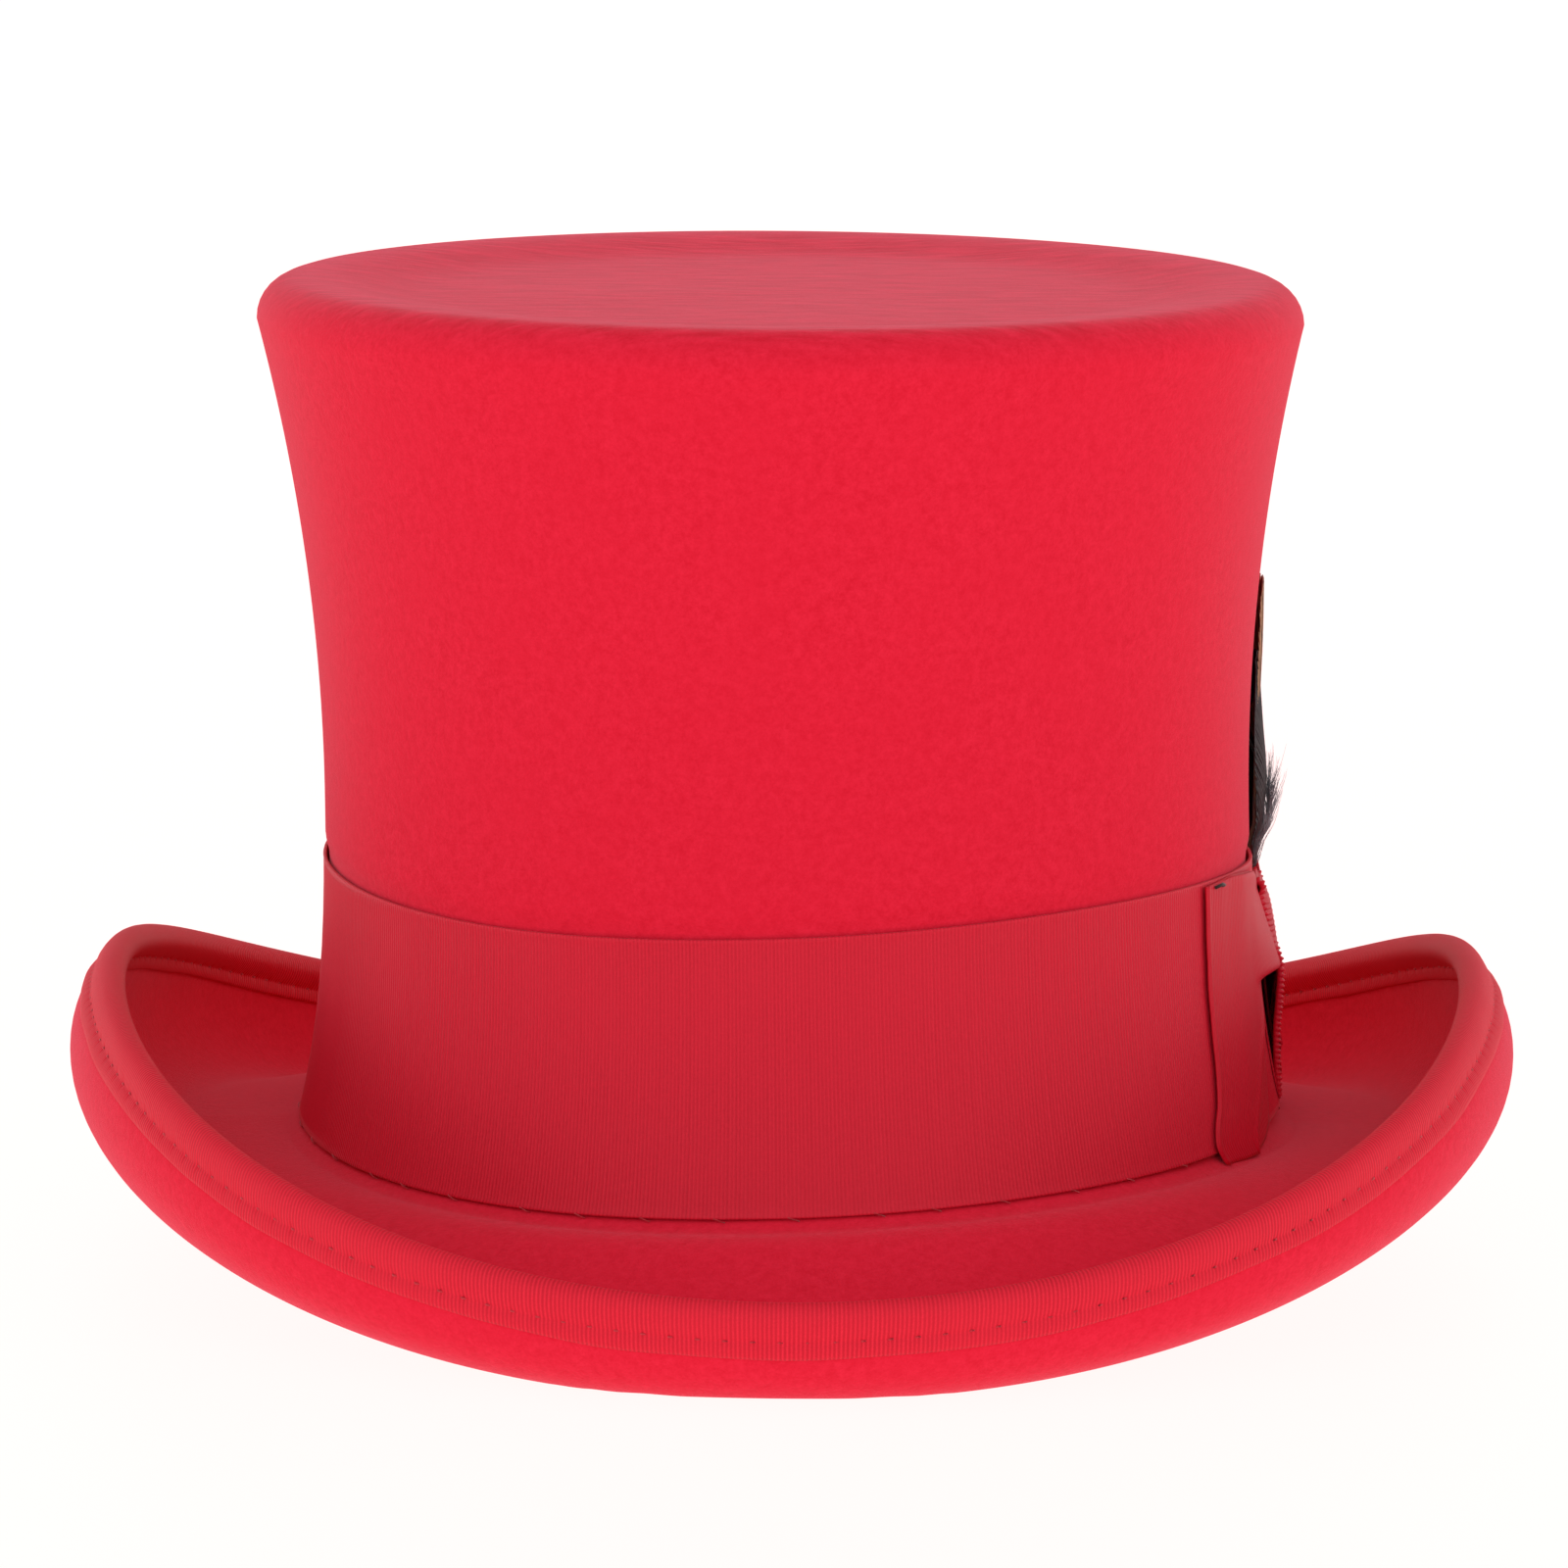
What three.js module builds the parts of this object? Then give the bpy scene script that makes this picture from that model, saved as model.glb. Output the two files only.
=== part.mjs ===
// A red wool felt top hat: flared crown, wide ribbon band with a side bow, feather spray, curled brim with a
// stitched ribbon binding, leather sweatband and satin lining. Millimetres, +Z up, the front faces -Y and the
// wearer's left is +X. The hat stands on the front and the back of its brim, with z = 0 at the surface it stands on.
import * as THREE from "three";
import { mergeVertices } from "three/addons/utils/BufferGeometryUtils.js";

// Driving dimensions. Heights inside the hat are measured from the line where crown and brim meet.
const standHeight = 19.2;         // that line's height above the surface the hat stands on
const headHalfWidth = 90.2;       // oval of the middle of the felt at that line: half of its width
const headHalfLength = 108.7;     // and half of its length
const feltThickness = 3;
const crownHeight = 155.2;
const waistHeight = 61.8;         // the narrowest height of the crown
const waistHalfWidth = 83;
const baseFlare = 6.3;            // how much wider than the waist the crown is at its foot
const baseCurve = 2.8;            // power of that flare: high keeps it near the foot
const topFlare = 10.5;            // and just below its top edge
const topRound = 7.2;             // radius of the top edge
const tipDish = 2.5;              // how deep the flat middle of the top lies below its edge
const crownLean = 3.1;            // the top sits this far to the wearer's right
const sideLift = 1.36;            // the brim's root is this much higher at the sides than at front and back
const rootSkew = 1.87;            // and this much higher at the front left than at the front right

// The brim across its width, as an arc length: down at the dip angle, then a curl up to the turn angle.
const brimAtFront = { width: 67.6, dip: -35.3, turn: 102.2, curl: 35.1 };
const brimAtSide = { width: 66, dip: -0.13, turn: 147, curl: 46.1 };
const brimRoot = 8.2;             // the bend from the crown into the brim
const shapeBlend = 2.32;          // how quickly the side's width, dip and curl take over from the front's
const turnBlend = 1.54;           // the same for the turn angle

const gap = 0.3;                  // clearance between neighbouring pieces
const ribbon = 0.7;               // thickness of all ribbon
const wireRadius = 1.3;           // the cord in the fold of the binding
const bindingReach = 9.2;         // how far the binding covers each face of the brim
const bandBottom = 3.4;
const bandTop = 50.8;
const bandDent = 0.7;             // how far the tight band presses into the felt
const sweatbandHeight = 38;
const sweatbandThickness = 1.2;
const liningThickness = 0.7;

const roundSteps = 48;            // facets round the hat
const { clamp, degToRad, lerp, smoothstep } = THREE.MathUtils;

// ---------------------------------------------------------------------------------------------------------
// Surfaces that every piece is laid out on
// ---------------------------------------------------------------------------------------------------------

function ovalPoint(angle, out) {
  const c = Math.cos(angle);
  const s = Math.sin(angle);
  const normal = new THREE.Vector2(c / headHalfWidth, s / headHalfLength).normalize();
  return new THREE.Vector2(headHalfWidth * c + out * normal.x, headHalfLength * s + out * normal.y);
}

// Height of the line where crown and brim meet, over its mean plane.
function rootLift(angle) {
  const skew = Math.sin(angle) < 0 ? rootSkew * Math.sin(2 * angle) : 0;
  return sideLift * Math.cos(angle) ** 2 - skew;
}

// How far the crown's outer face stands outside the oval at a height.
function wallOut(height) {
  const above = Math.max(height - waistHeight, 0) / (crownHeight - topRound - waistHeight);
  const below = Math.max(waistHeight - height, 0) / waistHeight;
  const dent = bandDent * (1 - smoothstep(height, bandTop, bandTop + 4));
  return waistHalfWidth - headHalfWidth + topFlare * above ** 2 + baseFlare * below ** baseCurve - dent;
}

// A point beside the crown, `out` millimetres outside its outer face.
function crownPoint(angle, height, out) {
  return crownRing(angle, height, wallOut(height) + out, 1);
}

function crownRing(angle, height, ovalOut, scale) {
  const p = ovalPoint(angle, ovalOut);
  const fade = clamp((crownHeight - topRound - height) / (crownHeight - topRound - bandTop), 0, 1);
  const x = p.x * scale - (crownLean * height) / crownHeight;
  return new THREE.Vector3(x, p.y * scale, standHeight + height + rootLift(angle) * fade);
}

function brimShape(angle) {
  const side = Math.abs(Math.cos(angle)) ** shapeBlend;
  const turned = Math.abs(Math.cos(angle)) ** turnBlend;
  return {
    width: lerp(brimAtFront.width, brimAtSide.width, side),
    curl: lerp(brimAtFront.curl, brimAtSide.curl, side),
    dip: degToRad(lerp(brimAtFront.dip, brimAtSide.dip, side)),
    turn: degToRad(lerp(brimAtFront.turn, brimAtSide.turn, turned)),
  };
}

// The step made by an arc of this length whose direction turns from one angle to another.
function arcStep(from, to, length) {
  if (Math.abs(to - from) < 1e-6) return new THREE.Vector2(Math.cos(from), Math.sin(from)).multiplyScalar(length);
  const radius = length / (to - from);
  return new THREE.Vector2(Math.sin(to) - Math.sin(from), Math.cos(from) - Math.cos(to)).multiplyScalar(radius);
}

// A point of the brim at an arc length from its root, `off` millimetres above the middle of the felt.
function brimPoint(angle, along, off) {
  const shape = brimShape(angle);
  const root = Math.min(along, brimRoot);
  const run = clamp(along - brimRoot, 0, shape.width - shape.curl - brimRoot);
  const curl = Math.max(along - (shape.width - shape.curl), 0);
  const rootEnd = (shape.dip * root) / brimRoot;
  const curlEnd = shape.dip + ((shape.turn - shape.dip) * curl) / shape.curl;
  const slope = along < brimRoot ? rootEnd : curlEnd;
  const place = arcStep(0, rootEnd, root)
    .add(arcStep(shape.dip, shape.dip, run))
    .add(arcStep(shape.dip, curlEnd, curl));
  const p = ovalPoint(angle, place.x - off * Math.sin(slope));
  const height = place.y + off * Math.cos(slope) + rootLift(angle) * (1 - along / shape.width);
  return new THREE.Vector3(p.x, p.y, Math.max(standHeight + height, 0));
}

// The same, at a distance back from the brim's edge.
function edgePoint(angle, back, off) {
  return brimPoint(angle, brimShape(angle).width - back, off);
}

// ---------------------------------------------------------------------------------------------------------
// Closed skins over grids of points
// ---------------------------------------------------------------------------------------------------------

function steps(count, from, to) {
  return Array.from({ length: count + 1 }, (_, i) => lerp(from, to, i / count));
}

// The grid closes from its last column to its first. Down a column it closes too, or, where `poles` is set,
// the column's first and last points are shared by all the columns.
function skin(columns, poles) {
  const rows = columns[0].length;
  const positions = columns.flat().flatMap((p) => [p.x, p.y, p.z]);
  const corner = (i, j) => (i % columns.length) * rows + (j % rows);
  const faces = [];
  for (let i = 0; i < columns.length; i++) {
    for (let j = 0; j < (poles ? rows - 1 : rows); j++) {
      const quad = [corner(i, j), corner(i + 1, j), corner(i + 1, j + 1), corner(i, j + 1)];
      if (!poles || j > 0) faces.push([quad[0], quad[1], quad[2]]);
      if (!poles || j < rows - 2) faces.push([quad[0], quad[2], quad[3]]);
    }
  }
  const geometry = new THREE.BufferGeometry();
  geometry.setAttribute("position", new THREE.Float32BufferAttribute(positions, 3));
  geometry.setIndex(signedVolume(columns.flat(), faces) < 0 ? faces.flatMap((f) => [f[0], f[2], f[1]]) : faces.flat());
  return finished(geometry);
}

function signedVolume(points, faces) {
  return faces.reduce((sum, [a, b, c]) => sum + points[a].dot(points[b].clone().cross(points[c])), 0);
}

function finished(geometry) {
  const merged = mergeVertices(geometry, 1e-4);
  merged.computeVertexNormals();
  return merged;
}

// A ring round the hat, from a function that gives its closed section at an angle.
function hatRing(section, count = roundSteps) {
  return skin(steps(count, 0, 2 * Math.PI).slice(0, count).map(section), false);
}

// A solid through closed rings of points, its ends closed over their middles.
function loft(rings) {
  const middle = (ring) => ring.reduce((sum, p) => sum.add(p), new THREE.Vector3()).divideScalar(ring.length);
  const ends = [middle(rings[0]), middle(rings.at(-1))];
  const columns = rings[0].map((_, i) => [ends[0], ...rings.map((ring) => ring[i]), ends[1]]);
  return skin(columns, true);
}

// ---------------------------------------------------------------------------------------------------------
// Felt: one blocked piece, crown and brim
// ---------------------------------------------------------------------------------------------------------

const edgeRadius = feltThickness / 2 + gap + ribbon;            // the binding's rounded edge
const feltEdge = edgeRadius + wireRadius + gap;                 // the felt stops behind the cord
const tipOut = wallOut(crownHeight - topRound) - topRound;      // where the flat of the top meets the round edge
const tipFlatScale = 0.72;                                      // the flat middle, as a share of the whole top
const tipSlopeScale = 0.97;                                     // where the dish around it ends

function tipHeight(scale) {
  const slope = smoothstep(scale, tipFlatScale, tipSlopeScale);
  return crownHeight - tipDish * (1 - slope);
}

function feltColumn(angle) {
  const width = brimShape(angle).width;
  const half = feltThickness / 2;
  const outerTip = [0, 0.4, tipFlatScale, 0.8, 0.87, 0.94, 1].map((f) => crownRing(angle, tipHeight(f), tipOut, f));
  outerTip[0].set(-crownLean, 0, standHeight + tipHeight(0));
  const outerRound = [67.5, 45, 22.5].map((turn) => {
    const t = degToRad(turn);
    const out = tipOut + topRound * Math.cos(t);
    return crownRing(angle, crownHeight - topRound * (1 - Math.sin(t)), out, 1);
  });
  const outerWall = steps(9, crownHeight - topRound, bandBottom - 0.2).map((h) => crownPoint(angle, h, 0));
  const top = [0.5, ...steps(3, 4, width - brimShape(angle).curl)];
  const curl = steps(10, width - brimShape(angle).curl, width - feltEdge).slice(1);
  const upper = [...top, ...curl].map((along) => brimPoint(angle, along, half));
  const lower = [...curl.toReversed(), ...top.toReversed()].map((along) => brimPoint(angle, along, -half));
  const innerWall = steps(6, 4, crownHeight - topRound).map((h) => crownPoint(angle, h, -feltThickness));
  const innerTip = [1, 0.72, 0].map((f) => crownRing(angle, tipHeight(f) - feltThickness, tipOut, f));
  innerTip[2].set(-crownLean, 0, standHeight + tipHeight(0) - feltThickness);
  return [...outerTip, ...outerRound, ...outerWall, ...upper, ...lower, ...innerWall, ...innerTip];
}

function feltBody() {
  return skin(steps(roundSteps, 0, 2 * Math.PI).slice(0, roundSteps).map(feltColumn), true);
}

// ---------------------------------------------------------------------------------------------------------
// Brim edge: ribbon folded over the felt, with a cord in its fold
// ---------------------------------------------------------------------------------------------------------

function foldedSection(angle, off, roundCount) {
  const face = [bindingReach, (bindingReach + edgeRadius) / 2];
  const round = steps(roundCount, 90, -90).map((turn) => {
    const t = degToRad(turn);
    return edgePoint(angle, edgeRadius - off * Math.cos(t), off * Math.sin(t));
  });
  const upper = face.map((back) => edgePoint(angle, back, off));
  const lower = face.toReversed().map((back) => edgePoint(angle, back, -off));
  return [...upper, ...round, ...lower];
}

function brimBinding() {
  return hatRing((angle) => [
    ...foldedSection(angle, edgeRadius, 5),
    ...foldedSection(angle, edgeRadius - ribbon, 3).toReversed(),
  ]);
}

function brimWire() {
  return hatRing((angle) =>
    steps(6, 0, 360)
      .slice(0, 6)
      .map((turn) => {
        const t = degToRad(turn);
        return edgePoint(angle, edgeRadius + wireRadius * Math.cos(t), wireRadius * Math.sin(t));
      }),
  );
}

// ---------------------------------------------------------------------------------------------------------
// Rings laid along the crown wall, outside it or inside it
// ---------------------------------------------------------------------------------------------------------

function wallRing(bottom, top, innerOut, thickness, rows) {
  const heights = steps(rows, bottom, top);
  return hatRing((angle) => [
    ...heights.map((h) => crownPoint(angle, h, innerOut + thickness)),
    ...heights.toReversed().map((h) => crownPoint(angle, h, innerOut)),
  ]);
}

const liningOut = -feltThickness - 3 * gap - liningThickness;
const sweatbandOut = liningOut - gap - sweatbandThickness;
const sweatbandFoot = 3.6;
const reedRadius = 1.2;
const liningFoot = 9;
const liningTop = crownHeight - topRound - feltThickness - 3;

function sweatbandReed() {
  return hatRing((angle) =>
    steps(6, 0, 360)
      .slice(0, 6)
      .map((turn) => {
        const t = degToRad(turn);
        const height = sweatbandFoot - gap - reedRadius * (1 - Math.sin(t));
        return crownPoint(angle, height, sweatbandOut + sweatbandThickness / 2 + reedRadius * Math.cos(t));
      }),
  );
}

function liningTip() {
  const out = wallOut(liningTop) + liningOut - gap;
  const low = liningTop - 0.2;
  return loft([low, low + liningThickness].map((height) =>
    steps(roundSteps, 0, 2 * Math.PI).slice(0, roundSteps).map((angle) => crownRing(angle, height, out, 1)),
  ));
}

// ---------------------------------------------------------------------------------------------------------
// Side bow: two ribbon loops pinched by a knot
// ---------------------------------------------------------------------------------------------------------

const bowRadius = 103;            // radius of the oval's side, where the bow lies
const bowArm = 54;                // from the middle of the knot to a loop's far fold
const bandFront = gap + ribbon;   // the band's outer face
const bowBack = bandFront + gap;
const knotHalfWidth = 7.5;
const knotMiddle = 28;            // height of the knot's middle
const knotHalfHeight = 20.5;
const knotDepth = 4.6;
const pinchBottom = 15;           // the loops' lower and upper edges inside the knot
const pinchTop = 42;
const loopOpensAt = 30;           // distance from the knot where a loop has its full height

// A point beside the crown at a distance rearward of the middle of the left side.
function sidePoint(rearward, height, out) {
  return crownPoint(rearward / bowRadius, height, out);
}

// A loop in plan: distance along the band from the knot, and distance off its back. The rear loop stands further
// off, because the quills pass behind it.
const frontOutline = [
  [2.4, 1.8],
  [7, 2.6],
  [17, 4.2],
  [31, 4],
  [44, 2.8],
  [50, 2],
  [bowArm, 1],
  [50, 0.1],
  [36, 0.2],
  [20, 0.6],
  [7, 1],
];
const rearOutline = [
  [2.4, 1.8],
  [7.5, 2.5],
  [12, 5.3],
  [17, 5.8],
  [31, 5.2],
  [44, 3.2],
  [50, 2],
  [bowArm, 1],
  [50, 0.1],
  [40, 0.6],
  [31, 2],
  [21, 3.7],
  [13, 3.7],
  [8, 0.9],
];

function ribbonLoop(direction, outlinePoints) {
  const corners = outlinePoints.map(([along, off]) => new THREE.Vector3(along, bowBack + off, 0));
  const outline = new THREE.CatmullRomCurve3(corners, true);
  const count = 36;
  const columns = steps(count, 0, 1)
    .slice(0, count)
    .map((u) => {
      const outer = outline.getPointAt(u);
      const along = outline.getTangentAt(u);
      const inner = outer.clone().add(new THREE.Vector3(along.y, -along.x, 0).multiplyScalar(ribbon));
      const opened = smoothstep(outer.x, knotHalfWidth, loopOpensAt);
      const low = lerp(pinchBottom, bandBottom, opened);
      const high = lerp(pinchTop, bandTop + 0.4, opened);
      const heights = steps(3, low, high);
      return [
        ...heights.map((h) => sidePoint(direction * outer.x, h, outer.y)),
        ...heights.toReversed().map((h) => sidePoint(direction * inner.x, h, inner.y)),
      ];
    });
  return skin(columns, false);
}

// The knot's section: straight along the band, bulging away from it.
function knotSection(inset) {
  const power = 0.8;
  const bulge = steps(10, -90, 90).map((turn) => {
    const c = Math.cos(degToRad(turn));
    const s = Math.sin(degToRad(turn));
    const out = bowBack + inset + (knotDepth - 2 * inset) * Math.max(c, 0) ** power;
    return [out, knotMiddle + (knotHalfHeight - inset) * Math.sign(s) * Math.abs(s) ** power];
  });
  const back = steps(3, 1, -1).slice(1, -1);
  return [...bulge, ...back.map((up) => [bowBack + inset, knotMiddle + up * (knotHalfHeight - inset)])];
}

function bowKnot() {
  const inner = knotSection(ribbon);
  const across = steps(3, -knotHalfWidth, knotHalfWidth);
  const columns = knotSection(0).map(([out, height], i) => [
    ...across.map((rearward) => sidePoint(rearward, height, out)),
    ...across.toReversed().map((rearward) => sidePoint(rearward, inner[i][1], inner[i][0])),
  ]);
  return skin(columns, false);
}

// ---------------------------------------------------------------------------------------------------------
// Feather spray: the quills are pushed down behind the rear loop of the bow
// ---------------------------------------------------------------------------------------------------------

const quillFoot = 34;             // height of the quills' lower ends
const quillRadius = 0.45;
const quillOff = bandFront + gap + 0.15 + quillRadius;
const sprayRearward = 14.5;       // middle of the spray, rearward of the knot

// seat places the quill in the row, off is where the vane lies off the crown, fanFrom and fanTo are the levels
// above the quills' lower ends between which the quill moves out there, and lean is how far the tip bends rearward.
const vane = { thickness: 0.8, halfWidth: 9, bladeFrom: 24, fanFrom: 14, fanTo: 22 };
const feathers = {
  feather_brown: { ...vane, seat: -0.65, off: 2.6, length: 69, bladeFrom: 28, halfWidth: 10, lean: 3 },
  feather_black: { ...vane, seat: 0.65, off: 3.8, length: 60.5, lean: -2 },
  feather_brown_rear: { ...vane, seat: 1.95, off: 5, length: 58, lean: 17 },
  feather_down: { ...vane, seat: -1.95, off: 6.7, length: 42, halfWidth: 8, thickness: 1.8, lean: -3 },
};

// A feather: a round quill that widens into a flat vane and ends in a point.
function feather({ seat, off, length, bladeFrom, halfWidth, thickness, fanFrom, fanTo, lean }) {
  const levels = [0, fanFrom, (fanFrom + fanTo) / 2, fanTo, ...steps(8, bladeFrom, length)];
  const rings = levels.map((level) => {
    const share = clamp((level - bladeFrom) / (length - bladeFrom), 0, 1);
    const leaf = share > 0 ? Math.sin(Math.PI * (0.04 + 0.92 * share)) ** 0.6 : 0;
    const halfAcross = Math.max(quillRadius, halfWidth * leaf);
    const halfThick = Math.max(quillRadius * (1 - 0.4 * share), (thickness / 2) * leaf);
    const middle = lerp(quillOff, off, smoothstep(level, fanFrom, fanTo));
    const side = seat + lean * Math.max((level - fanTo) / (length - fanTo), 0) ** 1.4;
    return steps(8, 0, 2 * Math.PI)
      .slice(0, 8)
      .map((t) => {
        const rearward = sprayRearward + side + halfAcross * Math.cos(t);
        return sidePoint(rearward, quillFoot + level, middle + halfThick * Math.sin(t));
      });
  });
  return loft(rings);
}

// ---------------------------------------------------------------------------------------------------------
// Small bow on the sweatband's seam, at the back
// ---------------------------------------------------------------------------------------------------------

const seamBowHeight = 9;
const seamBowOut = sweatbandOut - gap;

function seamPoint(across, height, inward) {
  return crownPoint(Math.PI / 2 - across / headHalfWidth, height, seamBowOut - inward);
}

function seamBowLoops() {
  const arm = 13;
  const pinch = 2;
  const pinchHalfHeight = 1.2;
  const swell = 3.2;
  return loft(steps(14, -arm, arm).map((across) => {
    const open = Math.max(Math.abs(across) - pinch, 0) / (arm - pinch);
    const half = pinchHalfHeight + swell * Math.sin(Math.PI * 0.8 * open);
    return [[-1, 0], [1, 0], [1, 1], [-1, 1]].map(([up, deep]) =>
      seamPoint(across, seamBowHeight + up * half, 0.9 + deep * 1.2),
    );
  }));
}

function seamBowKnot() {
  const outer = [[-2.6, 0], [2.6, 0], [2.6, 3.3], [-2.6, 3.3]];
  const inner = [[-2, 0.55], [2, 0.55], [2, 2.75], [-2, 2.75]];
  const columns = outer.map(([up, deep], i) => [
    seamPoint(-1.6, seamBowHeight + up, deep),
    seamPoint(1.6, seamBowHeight + up, deep),
    seamPoint(1.6, seamBowHeight + inner[i][0], inner[i][1]),
    seamPoint(-1.6, seamBowHeight + inner[i][0], inner[i][1]),
  ]);
  return skin(columns, false);
}

// ---------------------------------------------------------------------------------------------------------
// Assembly
// ---------------------------------------------------------------------------------------------------------

function finish(color, roughness, metalness = 0) {
  return new THREE.MeshStandardMaterial({ color, roughness, metalness });
}

const felt = finish(0xdf2236, 0.95);
const grosgrain = finish(0xd8283c, 0.6);
const lightGrosgrain = finish(0xde2d40, 0.6);
const bowRibbon = finish(0xab212e, 0.6);
const steel = finish(0x8f8f8f, 0.4, 1);
const leather = finish(0x2b1a14, 0.5);
const reedPlastic = finish(0x17120f, 0.4);
const satin = finish(0x2a0d12, 0.35);
const brownVane = finish(0x6a4a35, 0.7);
const blackVane = finish(0x141418, 0.35);
const greyDown = finish(0xb9b6b4, 0.95);

function piece(name, geometry, material) {
  const mesh = new THREE.Mesh(geometry, material);
  mesh.name = name;
  return mesh;
}

const hat = new THREE.Group();
hat.add(piece("felt_body", feltBody(), felt));
hat.add(piece("brim_binding", brimBinding(), lightGrosgrain));
hat.add(piece("brim_wire", brimWire(), steel));
hat.add(piece("hat_band", wallRing(bandBottom, bandTop, gap, ribbon, 4), grosgrain));
hat.add(piece("bow_front_loop", ribbonLoop(-1, frontOutline), bowRibbon));
hat.add(piece("bow_rear_loop", ribbonLoop(1, rearOutline), bowRibbon));
hat.add(piece("bow_knot", bowKnot(), bowRibbon));
hat.add(piece("sweatband", wallRing(sweatbandFoot, sweatbandHeight, sweatbandOut, sweatbandThickness, 3), leather));
hat.add(piece("sweatband_reed", sweatbandReed(), reedPlastic));
hat.add(piece("lining_side", wallRing(liningFoot, liningTop - gap, liningOut, liningThickness, 6), satin));
hat.add(piece("lining_tip", liningTip(), satin));
hat.add(piece("seam_bow_loops", seamBowLoops(), satin));
hat.add(piece("seam_bow_knot", seamBowKnot(), satin));

const spray = new THREE.Group();
const vanes = {
  feather_brown: brownVane,
  feather_black: blackVane,
  feather_brown_rear: brownVane,
  feather_down: greyDown,
};
for (const [name, shape] of Object.entries(feathers)) spray.add(piece(name, feather(shape), vanes[name]));
hat.add(spray);

export default hat;
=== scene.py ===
"""A red wool felt top hat on a white table: ribbon band, side bow with feathers, bound and curled brim."""

import math
import random

import bmesh
import bpy
import numpy as np
from mathutils import Matrix, Vector


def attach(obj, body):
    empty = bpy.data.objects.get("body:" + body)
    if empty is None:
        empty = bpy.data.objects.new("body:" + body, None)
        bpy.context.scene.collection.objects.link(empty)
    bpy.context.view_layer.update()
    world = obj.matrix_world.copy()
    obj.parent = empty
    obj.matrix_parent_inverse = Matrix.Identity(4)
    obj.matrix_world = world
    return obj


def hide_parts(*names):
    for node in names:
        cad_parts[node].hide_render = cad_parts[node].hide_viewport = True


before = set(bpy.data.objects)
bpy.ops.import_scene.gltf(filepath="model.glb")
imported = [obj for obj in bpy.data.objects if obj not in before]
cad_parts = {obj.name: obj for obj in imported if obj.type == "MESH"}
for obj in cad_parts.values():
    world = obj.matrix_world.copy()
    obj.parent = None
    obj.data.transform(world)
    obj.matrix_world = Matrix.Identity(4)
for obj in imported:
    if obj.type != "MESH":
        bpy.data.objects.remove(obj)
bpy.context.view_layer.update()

# --------------------------------------------------------------------------------------------------
# Driving dimensions, in millimetres and degrees. They repeat the CAD model's, and meshes are scaled to
# metres. Heights are measured from the line where crown and brim meet.
# --------------------------------------------------------------------------------------------------

MM = 0.001
STAND_HEIGHT = 19.2
HEAD_HALF_WIDTH = 90.2
HEAD_HALF_LENGTH = 108.7
FELT = 3.0
CROWN_HEIGHT = 155.2
WAIST_HEIGHT = 61.8
WAIST_HALF_WIDTH = 83.0
BASE_FLARE = 6.3
BASE_CURVE = 2.8
TOP_FLARE = 10.5
TOP_ROUND = 7.2
TIP_DISH = 2.5
CROWN_LEAN = 3.1
SIDE_LIFT = 1.36
ROOT_SKEW = 1.87
BAND_BOTTOM = 3.4
BAND_TOP = 50.8
BAND_DENT = 0.7
BRIM_FRONT = {"width": 67.6, "dip": -35.3, "turn": 102.2, "curl": 35.1}
BRIM_SIDE = {"width": 66.0, "dip": -0.13, "turn": 147.0, "curl": 46.1}
BRIM_ROOT = 8.2
SHAPE_BLEND = 2.32
TURN_BLEND = 1.54
GAP = 0.3
RIBBON = 0.7
BAND_FRONT = GAP + RIBBON
EDGE_RADIUS = FELT / 2 + GAP + RIBBON
WIRE_RADIUS = 1.3
FELT_EDGE = EDGE_RADIUS + WIRE_RADIUS + GAP
LINING_OUT = -FELT - 3 * GAP - 0.7
SWEATBAND_OUT = LINING_OUT - GAP - 1.2
SWEATBAND_FOOT = 3.6
SWEATBAND_TOP = 38.0
LINING_FOOT = 9.0
LINING_TOP = CROWN_HEIGHT - TOP_ROUND - FELT - 3
BOW_RADIUS = 103.0
BOW_ARM = 54.0
BOW_BACK = BAND_FRONT + GAP
KNOT_MIDDLE = 28.0
KNOT_HALF_HEIGHT = 20.5
KNOT_HALF_WIDTH = 7.9
QUILL_FOOT = 34.0
QUILL_OFF = BAND_FRONT + GAP + 0.6

RIB_PITCH = 0.75                # of the bow's ribbon
KNOT_RIB_PITCH = 1.0
BINDING_RIBS = 1290             # round the brim's edge
BINDING_STITCHES = 209          # one every 4.3 mm
BAND_RIBS = 787                 # round the crown
SWEATBAND_STITCHES = 150
BACK = math.pi / 2              # the seams of all rings are at the back
TURN = 2 * math.pi


# --------------------------------------------------------------------------------------------------
# Surfaces that the pieces are laid out on, for arrays of angles and distances
# --------------------------------------------------------------------------------------------------

def lerp(a, b, t):
    return a + (b - a) * t


def smoothstep(x, low, high):
    t = np.clip((x - low) / (high - low), 0, 1)
    return t * t * (3 - 2 * t)


def oval_point(angle, out):
    c = np.cos(angle)
    s = np.sin(angle)
    length = np.hypot(c / HEAD_HALF_WIDTH, s / HEAD_HALF_LENGTH)
    x = HEAD_HALF_WIDTH * c + out * c / HEAD_HALF_WIDTH / length
    y = HEAD_HALF_LENGTH * s + out * s / HEAD_HALF_LENGTH / length
    return x, y


def root_lift(angle):
    skew = np.where(np.sin(angle) < 0, ROOT_SKEW * np.sin(2 * angle), 0.0)
    return SIDE_LIFT * np.cos(angle) ** 2 - skew


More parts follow.
